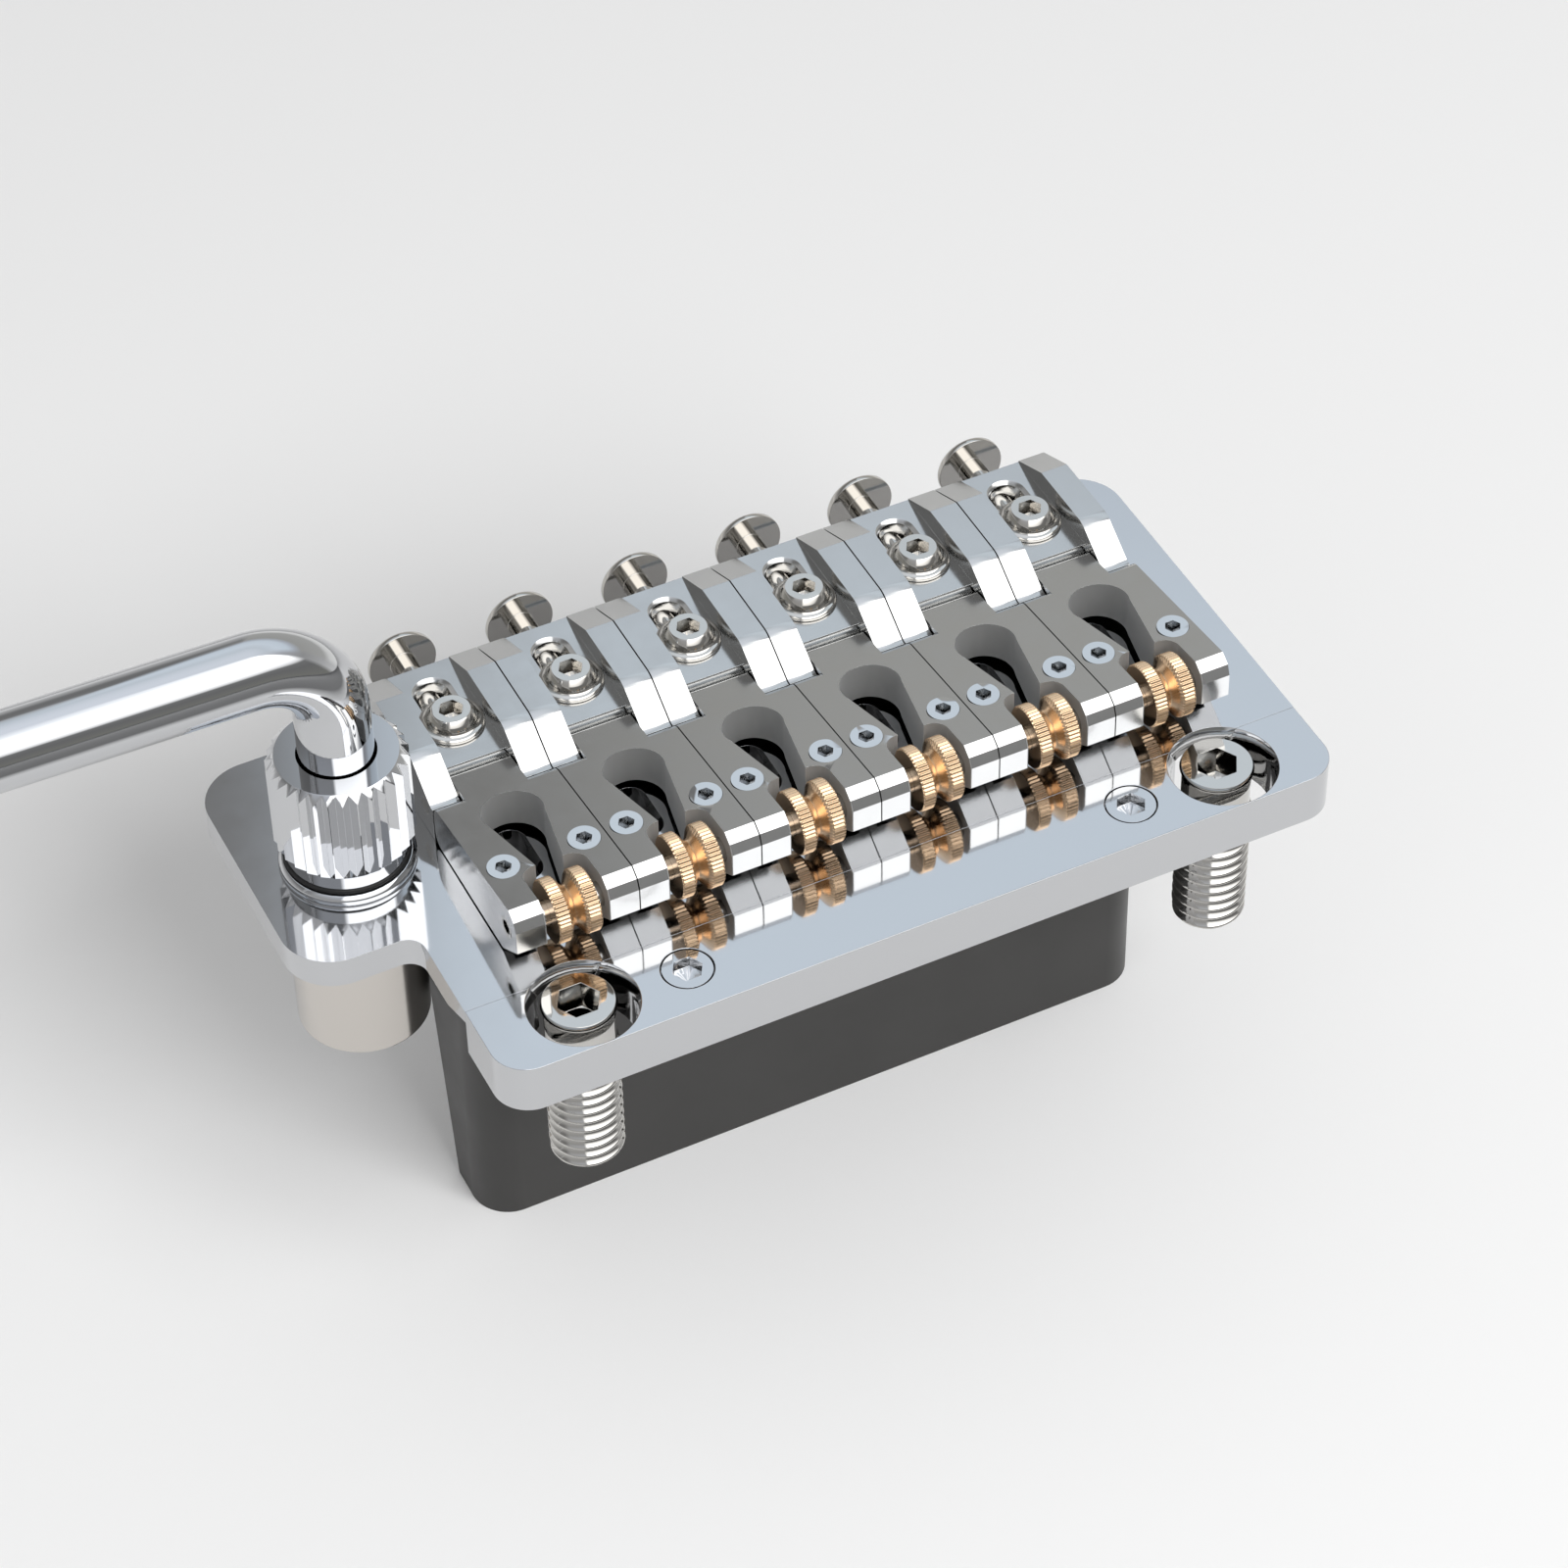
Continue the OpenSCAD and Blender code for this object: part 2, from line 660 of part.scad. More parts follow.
module saddle_carriage(i) {
    color([0.7, 0.72, 0.75]) translate([string_x(i), 0, plate_top]) difference() {
        across(saddle_w) polygon(concat(
            [[ear_front_y, carriage_low], [ear_front_y, ledge_z]],
            [for (k = [0:ear_steps]) arc_point(ear_foot, ear_foot_r, k * ear_angle / ear_steps - 90)],
            [for (k = [0:ear_steps]) arc_point(ear_brow, ear_brow_r, 90 + ear_angle - k * ear_angle / ear_steps)],
            [[ear_top_rear_y, ear_h], [saddle_rear_y, ear_rear_z], [saddle_rear_y, carriage_low]]
        ));
        translate([-pocket_w / 2, ear_front_y - over, floor_h])
            cube([pocket_w, saddle_rear_y - ear_front_y + 2 * over, ear_h]);
        translate([-pocket_w / 2, ear_front_y - over, -over])
            cube([pocket_w, recess_y - ear_front_y + over, ear_h + 2 * over]);
        across(pocket_w) polygon([
            [recess_y - over, floor_h - recess_lean_h],
            [recess_y, floor_h - recess_lean_h],
            [recess_y + recess_lean, floor_h],
            [recess_y + recess_lean, floor_h + over],
            [recess_y - over, floor_h + over]
        ]);
        y_slot(lock_slot_r, lock_slot_front_y, lock_slot_rear_y, -over, floor_h + 2 * over);
        lock_slot_rim();
        translate([0, hinge_y, hinge_z]) x_rod(hinge_pin_r + fix_gap, saddle_w + 2 * over);
        translate([0, lock_slot_rear_y - lock_slot_r, thumb_z]) rotate([-90, 0, 0])
            cylinder(r = thumb_r + run_gap, h = saddle_rear_y - lock_slot_rear_y + lock_slot_r + over);
    }
}

module hinge_pin(i) {
    color([0.6, 0.6, 0.62]) translate([string_x(i), hinge_y, plate_top + hinge_z]) x_rod(hinge_pin_r, saddle_w);
}

// The string's keyhole, narrowing to the roller's slot.
module keyhole() {
    tall = deck_front_h + 2 * over;
    translate([0, keyhole_y, -over]) cylinder(r = keyhole_r, h = tall);
    translate([0, 0, -over]) linear_extrude(height = tall) polygon([
        [-neck_w / 2, slot_rear_y - slot_corner_r],
        [neck_w / 2, slot_rear_y - slot_corner_r],
        [neck_w / 2, slot_rear_y],
        [keyhole_r, keyhole_y],
        [-keyhole_r, keyhole_y],
        [-neck_w / 2, slot_rear_y]
    ]);
    translate([-slot_w / 2, nose_y - over, -over])
        cube([slot_w, slot_rear_y - slot_corner_r - nose_y + over, tall]);
    translate([-slot_w / 2 + slot_corner_r, nose_y, -over])
        cube([slot_w - 2 * slot_corner_r, slot_rear_y - nose_y, tall]);
    for (side = [-1, 1]) {
        translate([side * (slot_w / 2 - slot_corner_r), slot_rear_y - slot_corner_r, -over])
            cylinder(r = slot_corner_r, h = tall);
    }
}

module saddle_rocker(i) {
    lip = [heel_y, deck_z(heel_y) - heel_r];
    heel = [heel_y, heel_z + heel_r];
    tail_y = tongue_rear_y - tongue_end_r;
    tail = [tail_y, deck_z(tail_y) - tongue_end_r];
    color([0.58, 0.58, 0.57]) translate([string_x(i), 0, plate_top]) difference() {
        union() {
            across(saddle_w) polygon(concat(
                [[nose_y, nose_high_z], [nose_y, nose_low_z], [foot_y, foot_z]],
                [for (k = [0:arc_steps]) arc_point(heel, heel_r, k * 90 / arc_steps - 90)],
                [for (k = [0:arc_steps]) arc_point(lip, heel_r, k * 90 / arc_steps)],
                [[deck_y, deck_front_h], [brow_y, brow_z]]
            ));
            across(rocker_tongue_w) polygon(concat(
                [[heel_y - over, hinge_z - eye_r], [hinge_y, hinge_z - eye_r], [tongue_rear_y, hinge_z]],
                [for (k = [0:arc_steps]) arc_point(tail, tongue_end_r, k * 90 / arc_steps)],
                [[heel_y - over, deck_z(heel_y - over)]]
            ));
            translate([0, hinge_y, hinge_z]) x_rod(eye_r, rocker_tongue_w);
        }
        keyhole();
        translate([runner_w - saddle_w / 2, nose_y - over, -over])
            cube([saddle_w - 2 * runner_w, rocker_rear_y - nose_y + 2 * over, over + channel_z]);
        translate([0, hinge_y, hinge_z]) x_rod(hinge_pin_r + run_gap, saddle_w);
        translate([0, roller_y, roller_z]) x_rod(roller_pin_r + fix_gap, saddle_w + over);
        for (side = [-1, 1]) {
            translate([side * height_screw_x, height_screw_y, -over])
                cylinder(r = height_screw_r + run_gap, h = deck_front_h + 2 * over);
        }
    }
}

module height_screws(i) {
    top = deck_z(height_screw_y) + height_screw_proud;
    tip_h = height_screw_r / 2;
    color([0.8, 0.8, 0.82]) for (side = [-1, 1]) {
        translate([string_x(i) + side * height_screw_x, height_screw_y, plate_top]) difference() {
            union() {
                translate([0, 0, height_screw_end + tip_h])
                    cylinder(r = height_screw_r, h = top - height_screw_end - tip_h);
                translate([0, 0, height_screw_end]) cylinder(r1 = tip_h, r2 = height_screw_r, h = tip_h);
            }
            hex_socket(height_hex, top, height_hex_depth);
        }
    }
}

module roller(i) {
    half = roller_w / 2;
    rim_in = half - rim_w;
    color([0.78, 0.6, 0.38]) translate([string_x(i), roller_y, plate_top + roller_z]) rotate([0, 90, 0])
        rotate_extrude() polygon([
            [roller_pin_r + run_gap, -half],
            [roller_r - rim_chamfer, -half],
            [roller_r, -half + rim_chamfer],
            [roller_r, -rim_in],
            [groove_r, -groove_w / 2],
            [groove_r, groove_w / 2],
            [roller_r, rim_in],
            [roller_r, half - rim_chamfer],
            [roller_r - rim_chamfer, half],
            [roller_pin_r + run_gap, half]
        ]);
}

module roller_pin(i) {
    color([0.66, 0.67, 0.68]) translate([string_x(i), roller_y, plate_top + roller_z]) difference() {
        x_rod(roller_pin_r, saddle_w);
        translate([-saddle_w / 2 - over, 0, 0]) rotate([0, 90, 0])
            cylinder(r = hex_r(pin_hex), h = pin_hex_depth + over, $fn = 6);
    }
}

module thumb_screw(i) {
    color([0.62, 0.6, 0.58]) translate([string_x(i), 0, plate_top + thumb_z]) rotate([-90, 0, 0]) {
        translate([0, 0, thumb_tip_y]) cylinder(r = thumb_r, h = thumb_face_y + thumb_rim - thumb_tip_y);
        translate([0, 0, thumb_face_y]) rotate_extrude() polygon(concat(
            [[0, 0], [thumb_head_r, 0]],
            [for (k = [0:arc_steps]) arc_point_scaled([0, thumb_rim], thumb_head_r, thumb_dome, k)]
        ));
    }
}

base_plate();
front_bar();
front_bar_screws();
pivot_studs();
sustain_block();
block_screws();
arm_socket();
arm_bushing();
socket_ring();
arm_seal();
arm_collar();
arm_rod();
arm_tip();
lock_screws();
saddle_carriage(1);  // saddle_carriage_1
saddle_carriage(2);  // saddle_carriage_2
saddle_carriage(3);  // saddle_carriage_3
saddle_carriage(4);  // saddle_carriage_4
saddle_carriage(5);  // saddle_carriage_5
saddle_carriage(6);  // saddle_carriage_6
hinge_pin(1);  // hinge_pin_1
hinge_pin(2);  // hinge_pin_2
hinge_pin(3);  // hinge_pin_3
hinge_pin(4);  // hinge_pin_4
hinge_pin(5);  // hinge_pin_5
hinge_pin(6);  // hinge_pin_6
saddle_rocker(1);  // saddle_rocker_1
saddle_rocker(2);  // saddle_rocker_2
saddle_rocker(3);  // saddle_rocker_3
saddle_rocker(4);  // saddle_rocker_4
saddle_rocker(5);  // saddle_rocker_5
saddle_rocker(6);  // saddle_rocker_6
height_screws(1);  // height_screws_1
height_screws(2);  // height_screws_2
height_screws(3);  // height_screws_3
height_screws(4);  // height_screws_4
height_screws(5);  // height_screws_5
height_screws(6);  // height_screws_6
roller(1);  // roller_1
roller(2);  // roller_2
roller(3);  // roller_3
roller(4);  // roller_4
roller(5);  // roller_5
roller(6);  // roller_6
roller_pin(1);  // roller_pin_1
roller_pin(2);  // roller_pin_2
roller_pin(3);  // roller_pin_3
roller_pin(4);  // roller_pin_4
roller_pin(5);  // roller_pin_5
roller_pin(6);  // roller_pin_6
thumb_screw(1);  // thumb_screw_1
thumb_screw(2);  // thumb_screw_2
thumb_screw(3);  // thumb_screw_3
thumb_screw(4);  // thumb_screw_4
thumb_screw(5);  // thumb_screw_5
thumb_screw(6);  // thumb_screw_6
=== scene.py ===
"""Looks of a two-post guitar tremolo bridge: chrome plate, roller saddles, steel block and arm.

Every length is in metres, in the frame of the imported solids: X runs across the strings, Y from the
pivot studs to the rear edge, and Z up. Classes build one sub-assembly each and main() runs them in order.
"""

import logging
import math
from dataclasses import dataclass, field
from enum import Enum
from typing import Any

import bmesh
import bpy
from mathutils import Matrix, Vector


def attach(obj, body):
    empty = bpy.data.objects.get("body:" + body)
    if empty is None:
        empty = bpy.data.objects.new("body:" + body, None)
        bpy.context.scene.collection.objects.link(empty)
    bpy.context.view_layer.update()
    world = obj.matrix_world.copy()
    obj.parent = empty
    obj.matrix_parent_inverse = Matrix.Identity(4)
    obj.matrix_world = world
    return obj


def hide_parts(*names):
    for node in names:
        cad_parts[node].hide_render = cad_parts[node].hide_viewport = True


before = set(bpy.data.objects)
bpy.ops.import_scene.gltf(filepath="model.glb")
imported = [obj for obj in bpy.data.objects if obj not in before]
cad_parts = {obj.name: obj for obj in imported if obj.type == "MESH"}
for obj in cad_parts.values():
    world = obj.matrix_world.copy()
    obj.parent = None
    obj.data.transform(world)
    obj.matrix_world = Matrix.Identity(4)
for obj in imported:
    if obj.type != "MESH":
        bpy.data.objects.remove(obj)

MM = 0.001
PLATE_TOP = 8.0 * MM
STRINGS = range(1, 7)
STRING_PITCH = 10.4 * MM
STUD_SPACING = 56 * MM
# Corners closer than this are one corner.
SAME_POINT = 1e-6
# A corner this close to a cutting plane lies on it.
ON_PLANE = 1e-8
# Faces that meet at less than this angle are one flat face.
FLAT_ANGLE = math.radians(0.6)
# How much more large faces count than small ones in the shading.
FLAT_WEIGHT = 60
# Nearly all of a noise texture's values lie between these two.
NOISE_LOW = 0.3
NOISE_HIGH = 0.7

# Stops of a colour ramp: position and linear colour of each.
Shades = tuple[tuple[float, tuple[float, float, float]], ...]

log = logging.getLogger("bridge")


# Colours and nodes


def linear(colour: str) -> tuple[float, float, float, float]:
    """Turn an sRGB hex colour into linear values.

    Args:
        colour: Six hex digits, such as "C8CDD2".

    Returns:
        Linear red, green, blue and an alpha of one.
    """
    parts = [int(colour[i:i + 2], 16) / 255 for i in (0, 2, 4)]
    red, green, blue = (c / 12.92 if c <= 0.04045 else ((c + 0.055) / 1.055) ** 2.4 for c in parts)
    return red, green, blue, 1.0


def add_node(tree: bpy.types.NodeTree, kind: str, inputs: dict[Any, Any] | None = None,
             **settings: Any) -> bpy.types.Node:
    """Add a node with its settings, values and links.

    Args:
        tree: Node tree that takes the node.
        kind: Node type, such as "ShaderNodeBump".
        inputs: Socket name or number to a value or to the output socket that feeds it.
        **settings: Attributes of the node itself.

    Returns:
        The new node.
    """
    node = tree.nodes.new(kind)
    for name, value in settings.items():
        setattr(node, name, value)
    for name, value in (inputs or {}).items():
        if isinstance(value, bpy.types.NodeSocket):
            tree.links.new(value, node.inputs[name])
        else:
            node.inputs[name].default_value = value
    return node


def set_ramp(node: bpy.types.Node, stops: Shades) -> None:
    """Give a Color Ramp its stops.

    Args:
        node: The Color Ramp node.
        stops: Position and linear colour of each stop, in rising order.
    """
    ramp = node.color_ramp
    for k, (place, colour) in enumerate(stops):
        stop = ramp.elements[k] if k < 2 else ramp.elements.new(place)
        stop.position = place
        stop.color = (*colour, 1.0)


# Finishes


@dataclass(frozen=True)
class Finish:
    """A surface finish made as one node material.

    Attributes:
        title: Name of the material.
        slot: Name of the material slot that the finish stands for; not used.
        colour: Base colour as sRGB hex.
        metallic: One for bare metal, nought for paint, rubber and plastic.
        roughness: Middle of the roughness.
        spread: How far the roughness wanders from its middle.
        patch: Size of a patch of even roughness, in metres.
        grain: Size of the surface's grain, in metres.
        relief: Strength of the grain's bump.
        relief_depth: Depth of the grain, in metres.
    """

    title: str
    slot: str
    colour: str
    metallic: float
    roughness: float
    spread: float = 0.02
    patch: float = 4 * MM
    grain: float = 0.3 * MM
    relief: float = 0.0
    relief_depth: float = 0.01 * MM

    def material(self) -> bpy.types.Material:
        """Find the finish's material, or make it the first time it is asked for.

        Returns:
            The finish's material.
        """
        known = bpy.data.materials.get(self.title)
        if known is not None:
            return known
        made = bpy.data.materials.new(self.title)
        made.use_nodes = True
        tree = made.node_tree
        shader = tree.nodes["Principled BSDF"]
        shader.inputs["Base Color"].default_value = linear(self.colour)
        shader.inputs["Metallic"].default_value = self.metallic
        shader.inputs["Roughness"].default_value = self.roughness
        self.detail(tree, shader)
        return made

    def detail(self, tree: bpy.types.NodeTree, shader: bpy.types.Node) -> None:
        """Add wandering roughness and a fine grain.

        Args:
            tree: The material's node tree.
            shader: Its Principled shader.
        """
        place = add_node(tree, "ShaderNodeTexCoord")
        haze = add_node(tree, "ShaderNodeTexNoise", {"Vector": place.outputs["Object"], "Scale": 1 / self.patch,
                                                     "Detail": 3.0, "Roughness": 0.6})
        spread = add_node(tree, "ShaderNodeMapRange", {"Value": haze.outputs["Fac"], "From Min": NOISE_LOW,
                                                       "From Max": NOISE_HIGH,
                                                       "To Min": max(self.roughness - self.spread, 0.0),
                                                       "To Max": self.roughness + self.spread})
        tree.links.new(spread.outputs["Result"], shader.inputs["Roughness"])
        if self.relief > 0:
            grain = add_node(tree, "ShaderNodeTexNoise", {"Vector": place.outputs["Object"], "Scale": 1 / self.grain,
                                                          "Detail": 2.0})
            bump = add_node(tree, "ShaderNodeBump", {"Height": grain.outputs["Fac"], "Strength": self.relief,
                                                     "Distance": self.relief_depth})
            tree.links.new(bump.outputs["Normal"], shader.inputs["Normal"])


class Axis(Enum):
    """Directions that a turned piece's axis can take."""

    X = 0
    Y = 1
    Z = 2


@dataclass(frozen=True)
class TurnedMetal(Finish):
    """Metal turned or drawn, with fine marks round its axis or along it.

    Attributes:
        axis: Direction of the piece's axis.
        feed: Distance between two marks, in metres.
        drawn: How far the marks draw the highlights out along the axis.
        lengthwise: Whether the marks run along the axis, as after drawing, instead of round it.
        marks: Strength of the marks.
        stretch: Scale of the marks' noise in the direction in which they run.
        mark_depth: Depth of the marks, as a share of the distance between two.
    """

    axis: Axis = Axis.X
    feed: float = 0.12 * MM
    drawn: float = 0.3
    lengthwise: bool = False
    marks: float = 0.1
    stretch: float = 0.02
    mark_depth: float = 0.03

    def detail(self, tree: bpy.types.NodeTree, shader: bpy.types.Node) -> None:
        """Add the marks and draw the highlights out.

        Args:
            tree: The material's node tree.
            shader: Its Principled shader.
        """
        super().detail(tree, shader)
        place = add_node(tree, "ShaderNodeTexCoord")
        squeeze = [1.0 if self.lengthwise else self.stretch] * 3
        squeeze[self.axis.value] = self.stretch if self.lengthwise else 1.0
        along = add_node(tree, "ShaderNodeMapping", {"Vector": place.outputs["Object"], "Scale": squeeze})
        marks = add_node(tree, "ShaderNodeTexNoise", {"Vector": along.outputs["Vector"], "Scale": 1 / self.feed,
                                                      "Detail": 1.0})
        bump = add_node(tree, "ShaderNodeBump", {"Height": marks.outputs["Fac"], "Strength": self.marks,
                                                 "Distance": self.mark_depth * self.feed})
        tree.links.new(bump.outputs["Normal"], shader.inputs["Normal"])
        around = add_node(tree, "ShaderNodeTangent", direction_type="RADIAL", axis=self.axis.name)
        tree.links.new(around.outputs["Tangent"], shader.inputs["Tangent"])
        shader.inputs["Anisotropic"].default_value = self.drawn


@dataclass(frozen=True)
class BoredMetal(Finish):
    """Plated metal whose milled holes and slots stay rougher than its outside.

    Attributes:
        bored: Roughness of the walls inside the holes, which plating hardly reaches.
        half_width: Half the width of the strip along each string that the holes lie in, in metres.
        rear: Place where that strip ends, behind the studs.
        steep: Height of the normal, up or down, below which a face counts as an upright wall.
    """

    bored: float = 0.85
    half_width: float = 2.72 * MM
    rear: float = 18.7 * MM
    steep: float = 0.5

    def detail(self, tree: bpy.types.NodeTree, shader: bpy.types.Node) -> None:
        """Make the upright walls near a string's path rough.

        Args:
            tree: The material's node tree.
            shader: Its Principled shader.
        """
        super().detail(tree, shader)
        outside = shader.inputs["Roughness"].links[0].from_socket
        place = add_node(tree, "ShaderNodeTexCoord")
        axes = add_node(tree, "ShaderNodeSeparateXYZ", {"Vector": place.outputs["Object"]})
        shape = add_node(tree, "ShaderNodeNewGeometry")
        facing = add_node(tree, "ShaderNodeSeparateXYZ", {"Vector": shape.outputs["Normal"]})
        from_seam = add_node(tree, "ShaderNodeMath", {0: axes.outputs["X"], 1: STRING_PITCH / 2},
                             operation="PINGPONG")
        near = add_node(tree, "ShaderNodeMath", {0: from_seam.outputs[0], 1: STRING_PITCH / 2 - self.half_width},
                        operation="GREATER_THAN")
        ahead = add_node(tree, "ShaderNodeMath", {0: axes.outputs["Y"], 1: self.rear}, operation="LESS_THAN")
        slope = add_node(tree, "ShaderNodeMath", {0: facing.outputs["Z"]}, operation="ABSOLUTE")
        upright = add_node(tree, "ShaderNodeMath", {0: slope.outputs[0], 1: self.steep}, operation="LESS_THAN")
        both = add_node(tree, "ShaderNodeMath", {0: near.outputs[0], 1: ahead.outputs[0]}, operation="MULTIPLY")
        wall = add_node(tree, "ShaderNodeMath", {0: both.outputs[0], 1: upright.outputs[0]}, operation="MULTIPLY")
        mixed = add_node(tree, "ShaderNodeMix", {"Factor": wall.outputs[0], "A": outside, "B": self.bored})
        tree.links.new(mixed.outputs["Result"], shader.inputs["Roughness"])


@dataclass(frozen=True)
class SocketedMetal(Finish):
    """Screws in rows across the bridge, with broached sockets that stay rough inside.

    Attributes:
        pitch: Distance between two neighbouring rows' middles, in metres.
        beside: Distance of each screw from its row's middle, in metres.
        behind: Place of the screws behind the studs, in metres.
        reach: Radius inside which a face belongs to the socket, in metres.
        broached: Roughness inside the socket.
    """

    pitch: float = STRING_PITCH
    beside: float = 0.0
    behind: float = 0.0
    reach: float = 1 * MM
    broached: float = 0.14

    def detail(self, tree: bpy.types.NodeTree, shader: bpy.types.Node) -> None:
        """Make the faces near each screw's axis rough.

        Args:
            tree: The material's node tree.
            shader: Its Principled shader.
        """
        super().detail(tree, shader)
        outside = shader.inputs["Roughness"].links[0].from_socket
        place = add_node(tree, "ShaderNodeTexCoord")
        axes = add_node(tree, "ShaderNodeSeparateXYZ", {"Vector": place.outputs["Object"]})
        from_seam = add_node(tree, "ShaderNodeMath", {0: axes.outputs["X"], 1: self.pitch / 2},
                             operation="PINGPONG")
        off_x = add_node(tree, "ShaderNodeMath", {0: from_seam.outputs[0], 1: self.pitch / 2 - self.beside},
                         operation="SUBTRACT")
        off_y = add_node(tree, "ShaderNodeMath", {0: axes.outputs["Y"], 1: self.behind}, operation="SUBTRACT")
        off = add_node(tree, "ShaderNodeCombineXYZ", {"X": off_x.outputs[0], "Y": off_y.outputs[0]})
        radius = add_node(tree, "ShaderNodeVectorMath", {0: off.outputs["Vector"]}, operation="LENGTH")
        inside = add_node(tree, "ShaderNodeMath", {0: radius.outputs["Value"], 1: self.reach}, operation="LESS_THAN")
        mixed = add_node(tree, "ShaderNodeMix", {"Factor": inside.outputs[0], "A": outside, "B": self.broached})
        tree.links.new(mixed.outputs["Result"], shader.inputs["Roughness"])


@dataclass(frozen=True)
class PaperWithPaintedReflection(Finish):
    """White paper of the floor, with a painted reflection: rays mirrored off the chrome see its front dark grey.

    Attributes:
        reflected_shade: Painted reflection: dark grey that only mirrored rays see on the floor in front, as sRGB hex.
        reflected_shade_full: Place in front of the studs from which mirrored rays see only the dark grey.
        reflected_shade_start: Place in front of the studs up to which mirrored rays see the pale floor.
    """

    reflected_shade: str = "7C7C7C"
    reflected_shade_full: float = -85 * MM
    reflected_shade_start: float = -45 * MM

    def detail(self, tree: bpy.types.NodeTree, shader: bpy.types.Node) -> None:
        """Paint the dark grey reflection that mirrored rays see on the floor in front.

        Args:
            tree: The material's node tree.
            shader: Its Principled shader.
        """
        super().detail(tree, shader)
        place = add_node(tree, "ShaderNodeTexCoord")
        axes = add_node(tree, "ShaderNodeSeparateXYZ", {"Vector": place.outputs["Object"]})
        seen = add_node(tree, "ShaderNodeLightPath")
        ahead = add_node(tree, "ShaderNodeMapRange", {"Value": axes.outputs["Y"], "From Min": self.reflected_shade_start,
                                                      "From Max": self.reflected_shade_full})
        share = add_node(tree, "ShaderNodeMath", {0: ahead.outputs["Result"], 1: seen.outputs["Is Glossy Ray"]},
                         operation="MULTIPLY")
        # Painted reflection: rays mirrored off the chrome see the floor in front fade to dark grey; the camera sees
        # it pale.
        reflected_tone = add_node(tree, "ShaderNodeMix", {"Factor": share.outputs[0], 6: linear(self.colour),
                                                 7: linear(self.reflected_shade)}, data_type="RGBA")
        tree.links.new(reflected_tone.outputs[2], shader.inputs["Base Color"])


# Bright chrome plate over polished steel: mirrors about six tenths of the light, with a slight blur.
CHROME = Finish("polished_chrome", "chrome", "C7C8CA", 1.0, 0.07, spread=0.015)
# The arm, its collar and its ring are turned and buffed before plating, so they mirror sharply.
MIRROR_CHROME = Finish("buffed_chrome", "chrome", "C7C8CA", 1.0, 0.035, spread=0.01)
# The carriages are tumbled before plating, so they mirror a little more softly than the plate.
CARRIAGE_CHROME = Finish("tumbled_chrome", "chrome", "C4C4C3", 1.0, 0.16, spread=0.025, patch=2.5 * MM)
# The rockers are blasted lightly before plating, so they only glow with what stands round them.
ROCKER_CHROME = BoredMetal("satin_chrome", "chrome", "C6C6C5", 1.0, 0.17, spread=0.025, patch=2.5 * MM)
# Steel block with a thin dark paint: even, satin, with the faint pitting of a ground casting.
BLOCK_PAINT = Finish("satin_dark_paint", "satin_block", "2F2E2D", 0.0, 0.42, spread=0.06, patch=9 * MM,
                     grain=0.25 * MM, relief=0.18)
# Free-cutting brass, turned and knurled: warm, bright at its edges.
BRASS = TurnedMetal("turned_brass", "brass", "E3C29E", 1.0, 0.22, spread=0.04, patch=1.5 * MM)
# The small screws in the rockers and the bar are plated like the plate; their sockets are broached.
HEIGHT_CHROME = SocketedMetal("plated_height_screw", "chrome", "CBCCCD", 1.0, 0.04, spread=0.01, beside=3.4 * MM,
                              behind=10.1 * MM, reach=0.68 * MM)
BAR_SCREW_CHROME = SocketedMetal("plated_bar_screw", "chrome", "C7C8CA", 1.0, 0.06, spread=0.01, pitch=38.8 * MM,
                                 behind=-1.3 * MM, reach=1.2 * MM)
# Stainless screws, bright rolled and tumbled: warmer and darker than chrome.
LOCK_STEEL = SocketedMetal("bright_lock_screw", "screw_steel", "C8C5C0", 1.0, 0.05, spread=0.015, behind=27.9 * MM,
                           reach=1.02 * MM)
STUD_STEEL = SocketedMetal("bright_stud", "screw_steel", "C8C6C2", 1.0, 0.06, spread=0.015, pitch=STUD_SPACING,
                           reach=1.75 * MM)
SCREW_STEEL = Finish("bright_stainless", "screw_steel", "C4C1BC", 1.0, 0.07, spread=0.02, patch=1.5 * MM)
# The socket is drawn steel with a nickel flash: it mirrors the block, and faint streaks run down it.
SOCKET_STEEL = TurnedMetal("drawn_nickel", "screw_steel", "CFCAC4", 1.0, 0.1, axis=Axis.Z, feed=1.1 * MM, drawn=0.5,
                           lengthwise=True, marks=0.9)
# Nitrile ring: black, matt, faintly dusty.
RUBBER = Finish("nitrile_rubber", "black_rubber", "101010", 0.0, 0.55, spread=0.08)
# Moulded acetal of the bushing and the arm's tip: milky white with a low sheen.
ACETAL = Finish("moulded_acetal", "white_plastic", "E6E3D8", 0.0, 0.35, spread=0.05, grain=0.4 * MM, relief=0.06)


# Mesh helpers


def merged_copy(node: str) -> bmesh.types.BMesh:
    """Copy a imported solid's mesh with its corners merged and its flat faces joined.

    Args:
        node: Name of the CAD node.

    Returns:
        A closed mesh of flat polygons.
    """
    made = bmesh.new()
    made.from_mesh(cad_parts[node].data)
    bmesh.ops.remove_doubles(made, verts=made.verts, dist=SAME_POINT)
    bmesh.ops.dissolve_limit(made, angle_limit=FLAT_ANGLE, verts=made.verts, edges=made.edges)
    return made


def sharp_edges(mesh: bmesh.types.BMesh, degrees: float = 30.0) -> list[bmesh.types.BMEdge]:
    """Find the closed mesh's edges whose faces meet at more than an angle.

    Args:
        mesh: Mesh to search.
        degrees: The angle.

    Returns:
        The sharp edges.
    """
    limit = math.radians(degrees)
    return [e for e in mesh.edges if len(e.link_faces) == 2 and e.calc_face_angle(0.0) > limit]


